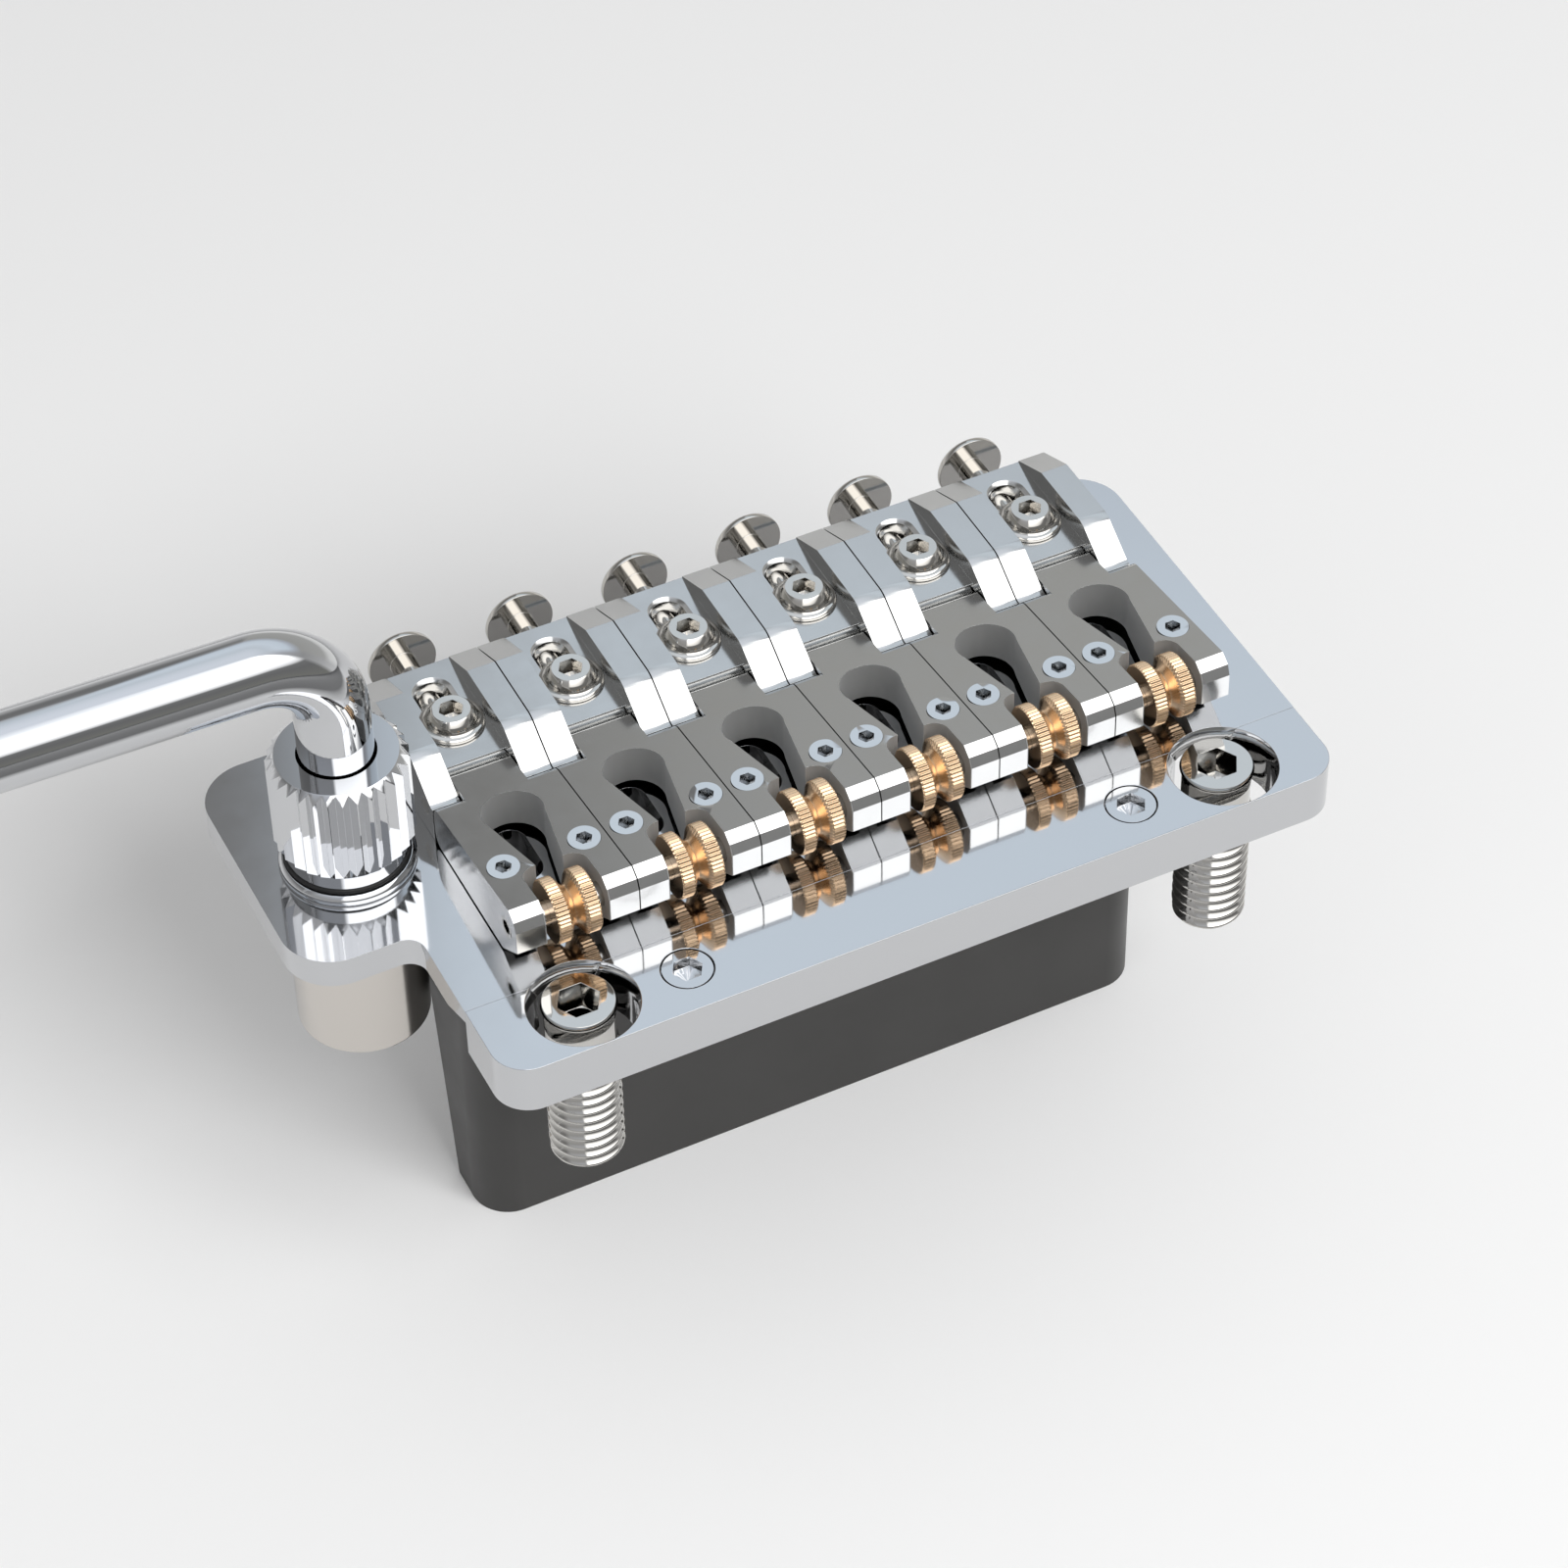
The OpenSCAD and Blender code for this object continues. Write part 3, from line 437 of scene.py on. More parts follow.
def break_edges(mesh: bmesh.types.BMesh, width: float, segments: int = 2, degrees: float = 30.0) -> None:
    """Round the sharp edges of a mesh.

    Args:
        mesh: Mesh to change.
        width: Width of the rounding, in metres.
        segments: Faces across the rounding.
        degrees: Smallest angle between faces that counts as sharp.
    """
    bmesh.ops.bevel(mesh, geom=sharp_edges(mesh, degrees), offset=width, offset_type="OFFSET", segments=segments,
                    profile=0.5, affect="EDGES", clamp_overlap=True, material=-1)


def lathe(outline: list[tuple[float, float]], axis: Vector, centre: Vector, steps: int = 64) -> bmesh.types.BMesh:
    """Spin an outline into a closed solid of revolution.

    Args:
        outline: Distance from the axis and place along it, in metres, from one end to the other.
        axis: Unit direction of the axis.
        centre: Point on the axis from which places along it count.
        steps: Faces round the axis.

    Returns:
        The spun mesh, with its poles merged and its normals outwards.
    """
    made = bmesh.new()
    across = axis.orthogonal().normalized()
    points = [made.verts.new(centre + across * radius + axis * along) for radius, along in outline]
    edges = [made.edges.new(pair) for pair in zip(points, points[1:])]
    bmesh.ops.spin(made, geom=points + edges, cent=centre, axis=axis, angle=math.tau, steps=steps, use_merge=True)
    bmesh.ops.remove_doubles(made, verts=made.verts, dist=SAME_POINT)
    bmesh.ops.recalc_face_normals(made, faces=made.faces)
    return made


def cut_level(mesh: bmesh.types.BMesh, height: float, keep_above: bool) -> None:
    """Cut a mesh level and leave the cut open.

    Args:
        mesh: Mesh to cut.
        height: Height of the cut.
        keep_above: Whether the part above the cut stays, and not the one below.
    """
    bmesh.ops.bisect_plane(mesh, geom=mesh.verts[:] + mesh.edges[:] + mesh.faces[:], dist=ON_PLANE,
                           plane_co=(0, 0, height), plane_no=(0, 0, 1), clear_inner=keep_above,
                           clear_outer=not keep_above)


def close_up(mesh: bmesh.types.BMesh) -> None:
    """Fill the open ends of a mesh and turn its normals outwards.

    Args:
        mesh: Mesh to close.
    """
    bmesh.ops.holes_fill(mesh, edges=[e for e in mesh.edges if e.is_boundary], sides=0)
    bmesh.ops.recalc_face_normals(mesh, faces=mesh.faces)


def join(target: bmesh.types.BMesh, part: bmesh.types.BMesh) -> None:
    """Move a second mesh's faces into the first one and free the second.

    Args:
        target: Mesh that takes the faces.
        part: Mesh that gives them.
    """
    spare = bpy.data.meshes.new("spare")
    part.to_mesh(spare)
    part.free()
    target.from_mesh(spare)
    bpy.data.meshes.remove(spare)


def even_shading(obj: bpy.types.Object) -> None:
    """Shade an object smoothly and keep its large faces flat to the eye.

    Args:
        obj: The object.
    """
    shade = obj.modifiers.new("shade", "WEIGHTED_NORMAL")
    shade.keep_sharp = True
    shade.weight = FLAT_WEIGHT
    smooth_faces(obj.data)


def smooth_faces(data: bpy.types.Mesh) -> None:
    """Mark every face of a mesh as smooth.

    Args:
        data: The mesh.
    """
    for face in data.polygons:
        face.use_smooth = True


@dataclass
class Dressing:
    """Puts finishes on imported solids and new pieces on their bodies.

    Attributes:
        made: Names of the nodes and pieces that are done.
    """

    made: list[str] = field(default_factory=list)

    def edge_work(self, obj: bpy.types.Object, width: float, segments: int, sharp: float) -> None:
        """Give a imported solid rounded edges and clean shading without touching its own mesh.

        Args:
            obj: The CAD node's object.
            width: Width of the rounding, in metres.
            segments: Faces across the rounding.
            sharp: Smallest angle between faces that is rounded, in degrees.
        """
        weld = obj.modifiers.new("weld", "WELD")
        weld.merge_threshold = SAME_POINT
        flats = obj.modifiers.new("flats", "DECIMATE")
        flats.decimate_type = "DISSOLVE"
        flats.angle_limit = FLAT_ANGLE
        if width > 0:
            edges = obj.modifiers.new("edges", "BEVEL")
            edges.width = width
            edges.segments = segments
            edges.limit_method = "ANGLE"
            edges.angle_limit = math.radians(sharp)
            edges.use_clamp_overlap = True
        even_shading(obj)

    def dress(self, node: str, finish: Finish, width: float = 0.0, segments: int = 2, sharp: float = 30.0) -> None:
        """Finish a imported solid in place.

        Args:
            node: Name of the CAD node.
            finish: Its finish.
            width: Width of its rounded edges, in metres; nought leaves them as they are.
            segments: Faces across the rounding.
            sharp: Smallest angle between faces that is rounded, in degrees.
        """
        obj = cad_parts[node]
        obj.data.materials.clear()
        obj.data.materials.append(finish.material())
        self.edge_work(obj, width, segments, sharp)
        self.made.append(node)
        log.info("dressed %s in %s", node, finish.title)

    def piece(self, name: str, mesh: bmesh.types.BMesh, finish: Finish, body: str, stands_for: str,
              flats: bool = True) -> None:
        """Turn a mesh into a piece that rides on a body in place of a CAD node.

        Args:
            name: Name of the piece.
            mesh: Its mesh, freed afterwards.
            finish: Its finish.
            body: CAD body that it rides on.
            stands_for: CAD node that it replaces.
            flats: Whether large faces are kept flat in the shading.
        """
        data = bpy.data.meshes.new(name)
        mesh.to_mesh(data)
        mesh.free()
        obj = bpy.data.objects.new(name, data)
        bpy.context.scene.collection.objects.link(obj)
        data.materials.append(finish.material())
        if flats:
            even_shading(obj)
        else:
            smooth_faces(data)
        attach(obj, body)
        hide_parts(stands_for)
        self.made.append(name)
        log.info("made %s, %d faces", name, len(data.polygons))


# Sub-assemblies


@dataclass
class Deck:
    """Base plate, front bar, their screws and the sustain block.

    Attributes:
        plate_edge: Rounding of the plate's edges.
        bar_edge: Rounding of the bar's edges.
        block_edge: Rounding of the block's edges.
        screw_edge: Rounding of the flush screws in the bar.
        hidden_edge: Rounding of the screws under the rockers.
    """

    plate_edge: float = 0.12 * MM
    bar_edge: float = 0.2 * MM
    block_edge: float = 0.35 * MM
    screw_edge: float = 0.12 * MM
    hidden_edge: float = 0.05 * MM

    def build(self, dressing: Dressing) -> None:
        """Dress the plate, the bar, the block and their screws.

        Args:
            dressing: Puts the finishes on.
        """
        dressing.dress("base_plate", CHROME, self.plate_edge)
        dressing.dress("front_bar", CHROME, self.bar_edge, 3)
        dressing.dress("front_bar_screws", BAR_SCREW_CHROME, self.screw_edge)
        dressing.dress("sustain_block", BLOCK_PAINT, self.block_edge, 3)
        dressing.dress("block_screws", SCREW_STEEL, self.hidden_edge)


@dataclass
class PivotStuds:
    """The two studs that the bridge rocks on.

    Attributes:
        spacing: Distance between their axes.
        crest: Radius over the thread.
        root: Radius at the bottom of the thread.
        pitch: Distance between two turns.
        top: Height where the thread ends under the neck.
        bottom: Height of the lower end.
        lead: Length of the bevel on the lower end.
        steps: Faces round one turn.
        root_to: Share of a turn's length up to which the thread stays at its bottom.
        crest_from: Share of a turn's length at which the thread reaches its top.
        crest_to: Share of a turn's length at which it leaves its top.
        crest_side: Share of a turn's length that the rounding on each side of the top takes.
        crest_break: Depth of that rounding.
        run_in: Turns made below the lower end, which the level cut takes away.
        lap: How far the head reaches down into the shank.
        head_edge: Rounding of the head's edges.
    """

    spacing: float = STUD_SPACING
    crest: float = 3.0 * MM
    root: float = 2.42 * MM
    pitch: float = 1.0 * MM
    top: float = PLATE_TOP - 5.0 * MM
    bottom: float = PLATE_TOP - 17.2 * MM
    lead: float = 0.6 * MM
    steps: int = 48
    root_to: float = 0.14
    crest_from: float = 0.52
    crest_to: float = 0.6
    crest_side: float = 0.08
    crest_break: float = 0.07 * MM
    run_in: float = 1.5
    lap: float = 0.05 * MM
    head_edge: float = 0.06 * MM

    def thread(self, centre_x: float) -> bmesh.types.BMesh:
        """Make one threaded shank.

        Args:
            centre_x: Place of the stud's axis.

        Returns:
            The closed shank.
        """
        made = bmesh.new()
        shoulder = self.crest - self.crest_break
        outline = [(self.root, 0.0), (self.root, self.root_to), (shoulder, self.crest_from - self.crest_side),
                   (self.crest, self.crest_from), (self.crest, self.crest_to),
                   (shoulder, self.crest_to + self.crest_side), (self.root, 1.0)]
        start = self.bottom - self.run_in * self.pitch
        turns = math.ceil((self.top - start) / self.pitch) + 1
        points = [made.verts.new((centre_x + radius, 0.0, start + part * self.pitch)) for radius, part in outline]
        edges = [made.edges.new(pair) for pair in zip(points, points[1:])]
        bmesh.ops.spin(made, geom=points + edges, cent=(centre_x, 0, 0), axis=(0, 0, 1), angle=math.tau * turns,
                       steps=self.steps * turns, dvec=(0, 0, self.pitch / self.steps))
        bmesh.ops.remove_doubles(made, verts=made.verts, dist=SAME_POINT)
        cut_level(made, self.bottom, keep_above=True)
        cut_level(made, self.top, keep_above=False)
        for point in made.verts:
            out = Vector((point.co.x - centre_x, point.co.y, 0))
            limit = self.crest - self.lead + (point.co.z - self.bottom)
            if out.length > limit:
                point.co -= out.normalized() * (out.length - limit)
        close_up(made)
        return made

    def head(self, centre_x: float) -> bmesh.types.BMesh:
        """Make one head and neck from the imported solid, cut off where the thread begins.

        Args:
            centre_x: Place of the stud's axis.

        Returns:
            The closed head and neck with broken edges.
        """
        made = merged_copy("pivot_studs")
        far = [v for v in made.verts if abs(v.co.x - centre_x) > 2 * self.crest]
        bmesh.ops.delete(made, geom=far, context="VERTS")
        cut_level(made, self.top - self.lap, keep_above=True)
        close_up(made)
        break_edges(made, self.head_edge)
        return made

    def build(self, dressing: Dressing) -> None:
        """Make both studs.

        Args:
            dressing: Puts the finishes on.
        """
        for side, name in ((-1, "left"), (1, "right")):
            centre_x = side * self.spacing / 2
            shank = self.thread(centre_x)
            join(shank, self.head(centre_x))
            dressing.piece(f"pivot_stud_{name}", shank, STUD_STEEL, "studs", "pivot_studs")


@dataclass
class Arm:
    """Swinging arm, its toothed collar and its socket.

    Attributes:
        axis_x: Place of the turning axis across the strings.
        axis_y: Place of the turning axis behind the studs.
        radius: Radius of the rod.
        low: Lower end of the rod.
        height: Height of the bend above the plate.
        bend: Radius of the bend along the rod's middle.
        rise: Rise of the rod away from the bend, in degrees.
        reach: Length of the rod from the turning axis.
        end_bevel: Bevel on both ends of the rod.
        tip_wall: Thickness of the tip beyond the rod's end.
        steps: Faces round the rod.
        bend_steps: Rings along the bend.
        tooth_edge: Rounding of the collar's teeth.
        ring_edge: Rounding of the ring round the socket.
        socket_edge: Rounding of the socket's edges.
        bushing_edge: Rounding of the bushing's edges.
        tip_edge: Rounding of the tip's edges.
    """

    axis_x: float = -37.9 * MM
    axis_y: float = 21.65 * MM
    radius: float = 3.0 * MM
    low: float = PLATE_TOP - 14.8 * MM
    height: float = 22.6 * MM
    bend: float = 6.5 * MM
    rise: float = 1.5
    reach: float = 150 * MM
    end_bevel: float = 0.4 * MM
    tip_wall: float = 1.0 * MM
    steps: int = 48
    bend_steps: int = 24
    tooth_edge: float = 0.05 * MM
    ring_edge: float = 0.06 * MM
    socket_edge: float = 0.25 * MM
    bushing_edge: float = 0.05 * MM
    tip_edge: float = 0.15 * MM

    def rod(self) -> bmesh.types.BMesh:
        """Make the bent rod with bevelled ends.

        Returns:
            The closed rod.
        """
        made = bmesh.new()
        chamfer = self.end_bevel
        centre = Vector((self.axis_x, self.axis_y, self.low))
        bmesh.ops.create_circle(made, cap_ends=False, segments=self.steps, radius=self.radius - chamfer,
                                matrix=Matrix.Translation(centre))
        ring = made.edges[:]
        bmesh.ops.contextual_create(made, geom=made.edges[:])
        up = Vector((0, 0, 1))

        def grow(edges: list[bmesh.types.BMEdge], move: Vector, scale: float,
                 about: Vector) -> list[bmesh.types.BMEdge]:
            """Extrude the open ring, move it and scale it about a point.

            Args:
                edges: Edges of the open ring.
                move: Way that the new ring goes.
                scale: Its width against the old one's.
                about: Point that it is scaled about.

            Returns:
                Edges of the new ring.
            """
            grown = bmesh.ops.extrude_edge_only(made, edges=edges)["geom"]
            points = [g for g in grown if isinstance(g, bmesh.types.BMVert)]
            bmesh.ops.translate(made, verts=points, vec=move)
            if scale != 1.0:
                bmesh.ops.scale(made, verts=points, vec=(scale,) * 3, space=Matrix.Translation(-about))
            return [g for g in grown if isinstance(g, bmesh.types.BMEdge)
                    and all(v in points for v in g.verts)]

        wide = self.radius / (self.radius - chamfer)
        ring = grow(ring, up * chamfer, wide, centre + up * chamfer)
        turn_z = PLATE_TOP + self.height - self.bend
        ring = grow(ring, up * (turn_z - self.low - chamfer), 1.0, centre)
        pivot = Vector((self.axis_x - self.bend, self.axis_y, turn_z))
        spun = bmesh.ops.spin(made, geom=ring, cent=pivot, axis=(0, -1, 0),
                              angle=math.radians(90 - self.rise), steps=self.bend_steps)["geom_last"]
        ring = [g for g in spun if isinstance(g, bmesh.types.BMEdge)]
        away = Vector((-math.cos(math.radians(self.rise)), 0, math.sin(math.radians(self.rise))))
        length = self.reach - self.bend - self.tip_wall
        ring = grow(ring, away * length, 1.0, pivot)
        middle = sum((v.co for e in ring for v in e.verts), Vector()) / (2 * len(ring))
        ring = grow(ring, away * chamfer, 1 / wide, middle + away * chamfer)
        bmesh.ops.contextual_create(made, geom=ring)
        bmesh.ops.recalc_face_normals(made, faces=made.faces)
        return made

    def build(self, dressing: Dressing) -> None:
        """Make the rod and dress the collar, the ring, the seal, the socket and the tip.

        Args:
            dressing: Puts the finishes on.
        """
        dressing.piece("arm_rod_polished", self.rod(), MIRROR_CHROME, "arm", "arm_rod", flats=False)
        dressing.dress("arm_collar", MIRROR_CHROME, self.tooth_edge)
        dressing.dress("socket_ring", MIRROR_CHROME, self.ring_edge)
        dressing.dress("arm_seal", RUBBER)
        dressing.dress("arm_socket", SOCKET_STEEL, self.socket_edge, 3)
        dressing.dress("arm_bushing", ACETAL, self.bushing_edge)
        dressing.dress("arm_tip", ACETAL, self.tip_edge, 3)


@dataclass
class Saddles:
    """Carriages, rockers, their pins and their small screws.

    Attributes:
        body_edge: Rounding of the saddles' edges.
        screw_edge: Rounding of the screws' edges.
        ring_edge: Rounding of the height screws, a bright ring round each socket.
        sharp: Smallest angle that is rounded, so that the ears' slopes stay crisp, in degrees.
    """

    body_edge: float = 0.09 * MM
    screw_edge: float = 0.05 * MM
    ring_edge: float = 0.12 * MM
    sharp: float = 18.0

    def build(self, dressing: Dressing) -> None:
        """Dress every saddle.

        Args:
            dressing: Puts the finishes on.
        """
        dressing.dress("lock_screws", LOCK_STEEL, self.screw_edge)
        for n in STRINGS:
            dressing.dress(f"saddle_carriage_{n}", CARRIAGE_CHROME, self.body_edge, sharp=self.sharp)
            dressing.dress(f"saddle_rocker_{n}", ROCKER_CHROME, self.body_edge, sharp=self.sharp)
            dressing.dress(f"hinge_pin_{n}", SCREW_STEEL, self.screw_edge)
            dressing.dress(f"roller_pin_{n}", SCREW_STEEL, self.screw_edge)
            dressing.dress(f"height_screws_{n}", HEIGHT_CHROME, self.ring_edge)
            dressing.dress(f"thumb_screw_{n}", SCREW_STEEL, self.screw_edge)


@dataclass
class Rollers:
    """Brass rollers with a knurl on both rims.

    Attributes:
        place_y: Place of their axis behind the studs.
        place_z: Height of their axis.
        rim: Radius over the knurl.
        groove: Radius at the bottom of the string groove.
        hole: Radius of the pin's hole.
        width: Width of a roller.
        rim_width: Width of one knurled rim.
        rim_bevel: Bevel on both sides of a rim.
        shoulder: Height of the rims' flat sides and of the slope down to the groove.
        floor_half: Half the width of the groove's flat bottom, and the slope's lean.
        floor_rise: Rise of that bottom from its middle to its sides.
        teeth: Ridges round a rim.
        facets: Faces to each ridge.
        depth: Depth of the knurl.
        crisp: Smallest angle between faces that is not smoothed in the shading, in degrees.
    """

    place_y: float = 5.9 * MM
    place_z: float = PLATE_TOP + 3.5 * MM
    rim: float = 2.65 * MM
    groove: float = 1.65 * MM
    hole: float = 1.03 * MM
    width: float = 3.6 * MM
    rim_width: float = 1.12 * MM
    rim_bevel: float = 0.12 * MM
    shoulder: float = 0.55 * MM
    floor_half: float = 0.2 * MM
    floor_rise: float = 0.12 * MM
    teeth: int = 48
    facets: int = 4
    depth: float = 0.15 * MM
    crisp: float = 35.0

    def roller(self, centre: Vector) -> bmesh.types.BMesh:
        """Make one roller.

        Args:
            centre: Middle of the roller.

        Returns:
            The closed, knurled mesh.
        """
        half = self.width / 2
        inner = half - self.rim_width
        bevel = self.rim_bevel
        side = [(self.hole, half), (self.rim - self.shoulder, half), (self.rim - bevel, half),
                (self.rim, half - bevel), (self.rim, inner + bevel), (self.rim - bevel, inner),
                (self.groove + self.shoulder, inner - self.floor_half),
                (self.groove + self.floor_rise, self.floor_half), (self.groove, 0.0)]
        outline = side + [(radius, -along) for radius, along in reversed(side[:-1])] + [side[0]]
        steps = self.teeth * self.facets
        valley = (0, self.facets - 1)
        made = lathe(outline, Vector((1, 0, 0)), centre, steps)
        for point in made.verts:
            out = Vector((0, point.co.y - centre.y, point.co.z - centre.z))
            turn = math.atan2(out.z, out.y) % math.tau / math.tau
            if out.length > self.rim - bevel / 2 and round(turn * steps) % self.facets in valley:
                point.co -= out.normalized() * self.depth
        for edge in sharp_edges(made, self.crisp):
            edge.smooth = False
        return made

    def build(self, dressing: Dressing) -> None:
        """Make the six rollers.

        Args:
            dressing: Puts the finishes on.
        """
        middle = (STRINGS[0] + STRINGS[-1]) / 2
        for n in STRINGS:
            centre = Vector(((n - middle) * STRING_PITCH, self.place_y, self.place_z))
            dressing.piece(f"knurled_roller_{n}", self.roller(centre), BRASS, f"roller_{n}", f"roller_{n}")


# Studio


class Lamp(Enum):
    """The studio's lamps: place, aim, width, height, strength in watts and colour."""

    KEY = ((0.24, -0.72, 0.66), (0.0, 0.01, 0.0), 0.70, 0.50, 9.2, "FFFFFF")
    FILL = ((-0.62, -0.25, 0.45), (0.0, 0.01, 0.0), 0.30, 0.40, 0.3, "FFFFFF")


@dataclass
class Studio:
    """Floor, lamps, surroundings and camera.

    Attributes:
        floor_z: Height of the floor under the block.
        floor_half: Half the floor's width.
        floor_colour: Colour of the floor.
        azimuth: Camera's bearing, in degrees.
        elevation: Camera's height above the horizon, in degrees.
        roll: Camera's turn about its own view, in degrees.
        distance: Distance from the camera to what it looks at.
        target: Point that the camera looks at.
        lens: Focal length, in millimetres.
        sensor: Width of the camera's sensor, in millimetres.
        nearest: Distance from which the camera sees.
        even_light: Strength of the room's light on dull surfaces.
        mirrored: Strength of the room in what the chrome mirrors.
        rear_to: How far back a direction points where the rear wall ends.
        front_from: The same where the side of the camera begins.
        panel_from: Bearing at which the rear panel starts, in radians from straight back.
        panel_blur: Width of the panel's soft edge, in radians.
        wall: Rear wall from the horizon to the ceiling, left of the panel.
        panel: The same with the pale blue panel in front of it.
        box: The side of the camera, with the white soft box above it.
        side: The room to the left and right of the soft box.
        box_left: Bearing of the soft box's left edge, in radians from straight ahead of the bar.
        box_right: Bearing of its right edge.
        box_blur: Width of its soft edges, in radians.
    """

    floor_z: float = PLATE_TOP - 38.0 * MM
    floor_half: float = 4.0
    floor_colour: str = "EEEEEE"
    azimuth: float = -25.51
    elevation: float = 44.88
    roll: float = -1.21
    distance: float = 385.8 * MM
    target: tuple[float, float, float] = (-3.79 * MM, 13.58 * MM, PLATE_TOP - 0.40 * MM)
    lens: float = 111.47
    sensor: float = 36.0
    nearest: float = 0.01
    even_light: float = 0.52
    mirrored: float = 2.0
    rear_to: float = 0.05
    front_from: float = -0.15
    panel_from: float = 0.29
    panel_blur: float = 0.06
    wall: Shades = ((0.00, (0.46, 0.46, 0.46)), (0.10, (0.43, 0.43, 0.43)), (0.22, (0.30, 0.30, 0.30)),
                    (0.36, (0.22, 0.22, 0.22)), (0.48, (0.13, 0.13, 0.13)), (0.60, (0.12, 0.12, 0.12)),
                    (0.71, (0.14, 0.14, 0.14)), (0.78, (0.34, 0.36, 0.38)), (0.86, (0.40, 0.44, 0.48)),
                    (1.00, (0.54, 0.57, 0.62)))
    panel: Shades = ((0.00, (0.52, 0.52, 0.51)), (0.10, (0.47, 0.47, 0.46)), (0.20, (0.28, 0.28, 0.27)),
                     (0.53, (0.25, 0.25, 0.24)), (0.60, (0.31, 0.33, 0.36)), (0.68, (0.43, 0.48, 0.53)),
                     (0.78, (0.46, 0.51, 0.56)), (0.88, (0.42, 0.46, 0.50)), (1.00, (0.54, 0.57, 0.62)))
    box: Shades = ((0.00, (0.13, 0.13, 0.12)), (0.28, (0.11, 0.11, 0.11)), (0.42, (0.13, 0.13, 0.13)),
                   (0.48, (0.60, 0.60, 0.60)), (0.58, (1.00, 1.00, 1.00)), (0.66, (1.60, 1.60, 1.60)),
                   (0.88, (1.60, 1.60, 1.60)), (0.95, (0.84, 0.86, 0.88)), (1.00, (0.54, 0.57, 0.62)))
    side: Shades = ((0.00, (0.40, 0.40, 0.40)), (0.20, (0.30, 0.30, 0.30)), (0.50, (0.22, 0.22, 0.22)),
                    (0.75, (0.30, 0.31, 0.33)), (1.00, (0.54, 0.57, 0.62)))
    box_left: float = -0.65
    box_right: float = 1.25
    box_blur: float = 0.15

    def floor(self) -> None:
        """Lay a plain pale floor, with a painted reflection: mirrored rays see its front dark grey."""
        made = bmesh.new()
        bmesh.ops.create_grid(made, x_segments=1, y_segments=1, size=self.floor_half,
                              matrix=Matrix.Translation((0, 0, self.floor_z)))
        data = bpy.data.meshes.new("studio_floor")
        made.to_mesh(data)
        made.free()
        obj = bpy.data.objects.new("studio_floor", data)
        bpy.context.scene.collection.objects.link(obj)
        # The floor's material paints a dark grey reflection in front, seen only in the chrome.
        data.materials.append(PaperWithPaintedReflection("pale_paper", "", self.floor_colour, 0.0, 0.9, spread=0.02, patch=200 * MM,
                                    grain=0.7 * MM, relief=0.25, relief_depth=0.02 * MM).material())

    def surroundings(self) -> None:
        """Give the room an even light, and its walls and ceiling what the chrome mirrors."""
        world = bpy.data.worlds.new("studio_room")
        bpy.context.scene.world = world
        world.use_nodes = True
        tree = world.node_tree
        tree.nodes.clear()
        place = add_node(tree, "ShaderNodeTexCoord")
        split = add_node(tree, "ShaderNodeSeparateXYZ", {"Vector": place.outputs["Generated"]})
        across, back, height = (split.outputs[name] for name in "XYZ")
        bearing = add_node(tree, "ShaderNodeMath", {0: across, 1: back}, operation="ARCTAN2")
        beside = add_node(tree, "ShaderNodeMapRange", {"Value": bearing.outputs["Value"], "From Min": self.panel_from,
                                                       "From Max": self.panel_from + self.panel_blur})
        before = add_node(tree, "ShaderNodeMapRange", {"Value": back, "From Min": self.rear_to,
                                                       "From Max": self.front_from})
        ahead = add_node(tree, "ShaderNodeMath", {0: back, 1: -1.0}, operation="MULTIPLY")
        facing = add_node(tree, "ShaderNodeMath", {0: across, 1: ahead.outputs[0]}, operation="ARCTAN2")
        left = add_node(tree, "ShaderNodeMapRange", {"Value": facing.outputs[0], "From Min": self.box_left,
                                                     "From Max": self.box_left + self.box_blur})
        right = add_node(tree, "ShaderNodeMapRange", {"Value": facing.outputs[0], "From Min": self.box_right,
                                                      "From Max": self.box_right - self.box_blur})
        within = add_node(tree, "ShaderNodeMath", {0: left.outputs["Result"], 1: right.outputs["Result"]},
                          operation="MULTIPLY")
        wall, panel, box, side = (add_node(tree, "ShaderNodeValToRGB", {"Fac": height}) for _ in range(4))
        for ramp, shades in ((wall, self.wall), (panel, self.panel), (box, self.box), (side, self.side)):
            set_ramp(ramp, shades)
        front = add_node(tree, "ShaderNodeMix", {"Factor": within.outputs[0], 6: side.outputs["Color"],
                                                 7: box.outputs["Color"]}, data_type="RGBA")
        rear = add_node(tree, "ShaderNodeMix", {"Factor": beside.outputs["Result"], 6: wall.outputs["Color"],
                                                7: panel.outputs["Color"]}, data_type="RGBA")
        room = add_node(tree, "ShaderNodeMix", {"Factor": before.outputs["Result"], 6: rear.outputs[2],
                                                7: front.outputs[2]}, data_type="RGBA")
        seen = add_node(tree, "ShaderNodeLightPath")
        even = add_node(tree, "ShaderNodeBackground", {"Color": (1.0, 1.0, 1.0, 1.0), "Strength": self.even_light})
        gloss = add_node(tree, "ShaderNodeBackground", {"Color": room.outputs[2], "Strength": self.mirrored})
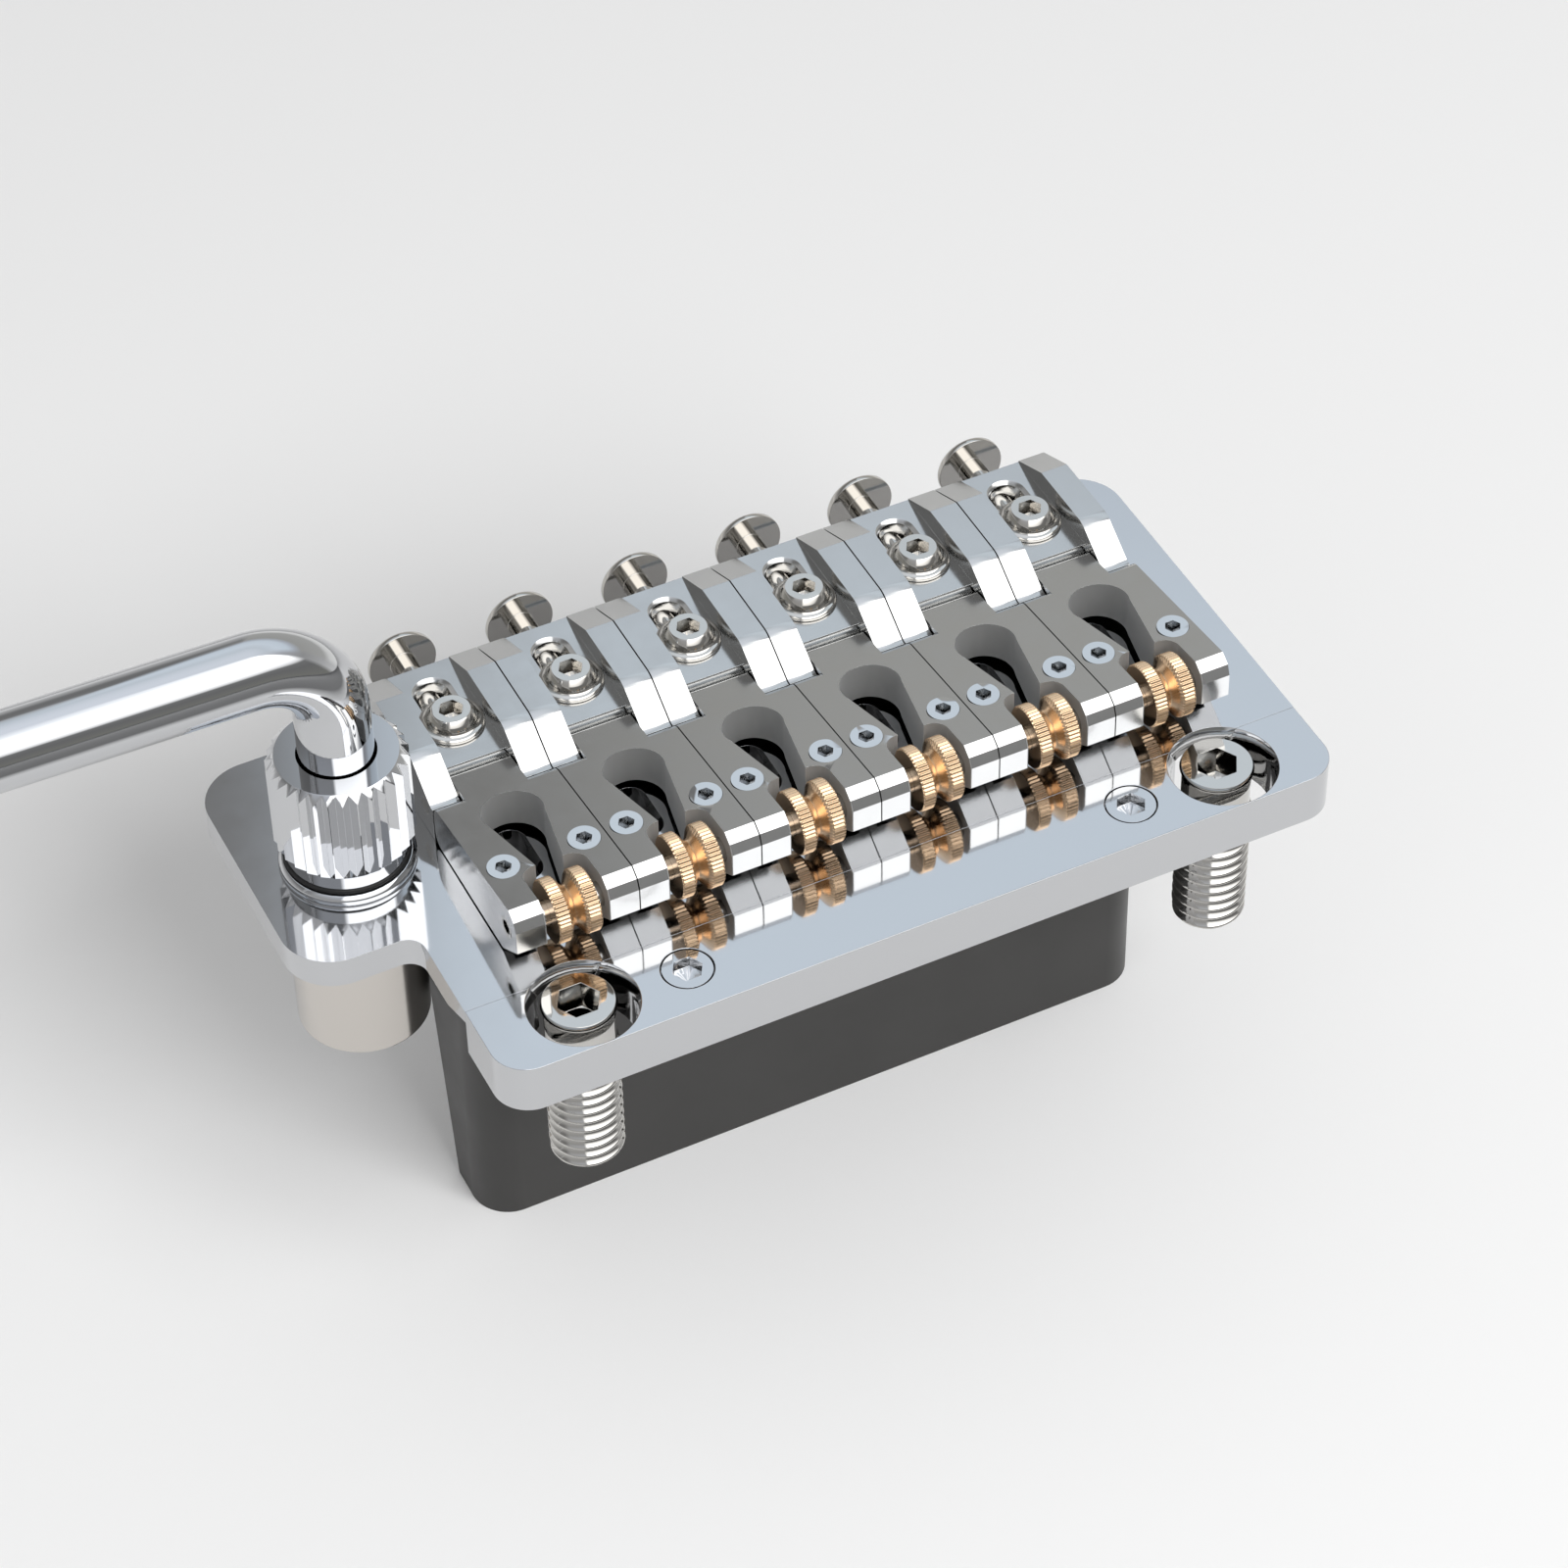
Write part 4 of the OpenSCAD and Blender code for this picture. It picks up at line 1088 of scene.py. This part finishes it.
        both = add_node(tree, "ShaderNodeMixShader", {0: seen.outputs["Is Glossy Ray"], 1: even.outputs["Background"],
                                                      2: gloss.outputs["Background"]})
        add_node(tree, "ShaderNodeOutputWorld", {"Surface": both.outputs["Shader"]})

    def lamps(self) -> None:
        """Hang the soft lamps."""
        for lamp in Lamp:
            place, aim, width, height, watts, colour = lamp.value
            data = bpy.data.lights.new(lamp.name.lower(), "AREA")
            data.shape = "RECTANGLE"
            data.size = width
            data.size_y = height
            data.energy = watts
            data.color = linear(colour)[:3]
            obj = bpy.data.objects.new(lamp.name.lower(), data)
            obj.location = place
            obj.visible_glossy = False
            obj.rotation_euler = (Vector(aim) - Vector(place)).to_track_quat("-Z", "Y").to_euler()
            bpy.context.scene.collection.objects.link(obj)

    def camera(self) -> None:
        """Set the camera at the photograph's angle."""
        bearing, height, turn = (math.radians(a) for a in (self.azimuth, self.elevation, self.roll))
        back = Vector((math.sin(bearing) * math.cos(height), -math.cos(bearing) * math.cos(height), math.sin(height)))
        right = (-back).cross(Vector((0, 0, 1))).normalized()
        up = right.cross(-back)
        across = right * math.cos(turn) + up * math.sin(turn)
        upright = up * math.cos(turn) - right * math.sin(turn)
        data = bpy.data.cameras.new("camera")
        data.sensor_width = self.sensor
        data.lens = self.lens
        data.clip_start = self.nearest
        obj = bpy.data.objects.new("camera", data)
        obj.matrix_world = Matrix.Translation(Vector(self.target) + back * self.distance) @ Matrix(
            (across, upright, back)).transposed().to_4x4()
        bpy.context.scene.collection.objects.link(obj)
        bpy.context.scene.camera = obj

    def build(self) -> None:
        """Set up the whole studio."""
        bpy.context.scene.view_settings.view_transform = "Standard"
        self.floor()
        self.surroundings()
        self.lamps()
        self.camera()
        log.info("studio ready")


def main() -> None:
    """Dress the bridge and set up its studio."""
    logging.basicConfig(level=logging.INFO, format="%(name)s: %(message)s")
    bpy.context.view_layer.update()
    dressing = Dressing()
    Studio().build()
    for part in (Deck(), PivotStuds(), Arm(), Saddles(), Rollers()):
        part.build(dressing)
    log.info("dressed %d nodes and pieces", len(dressing.made))


if __name__ == "__main__":
    main()
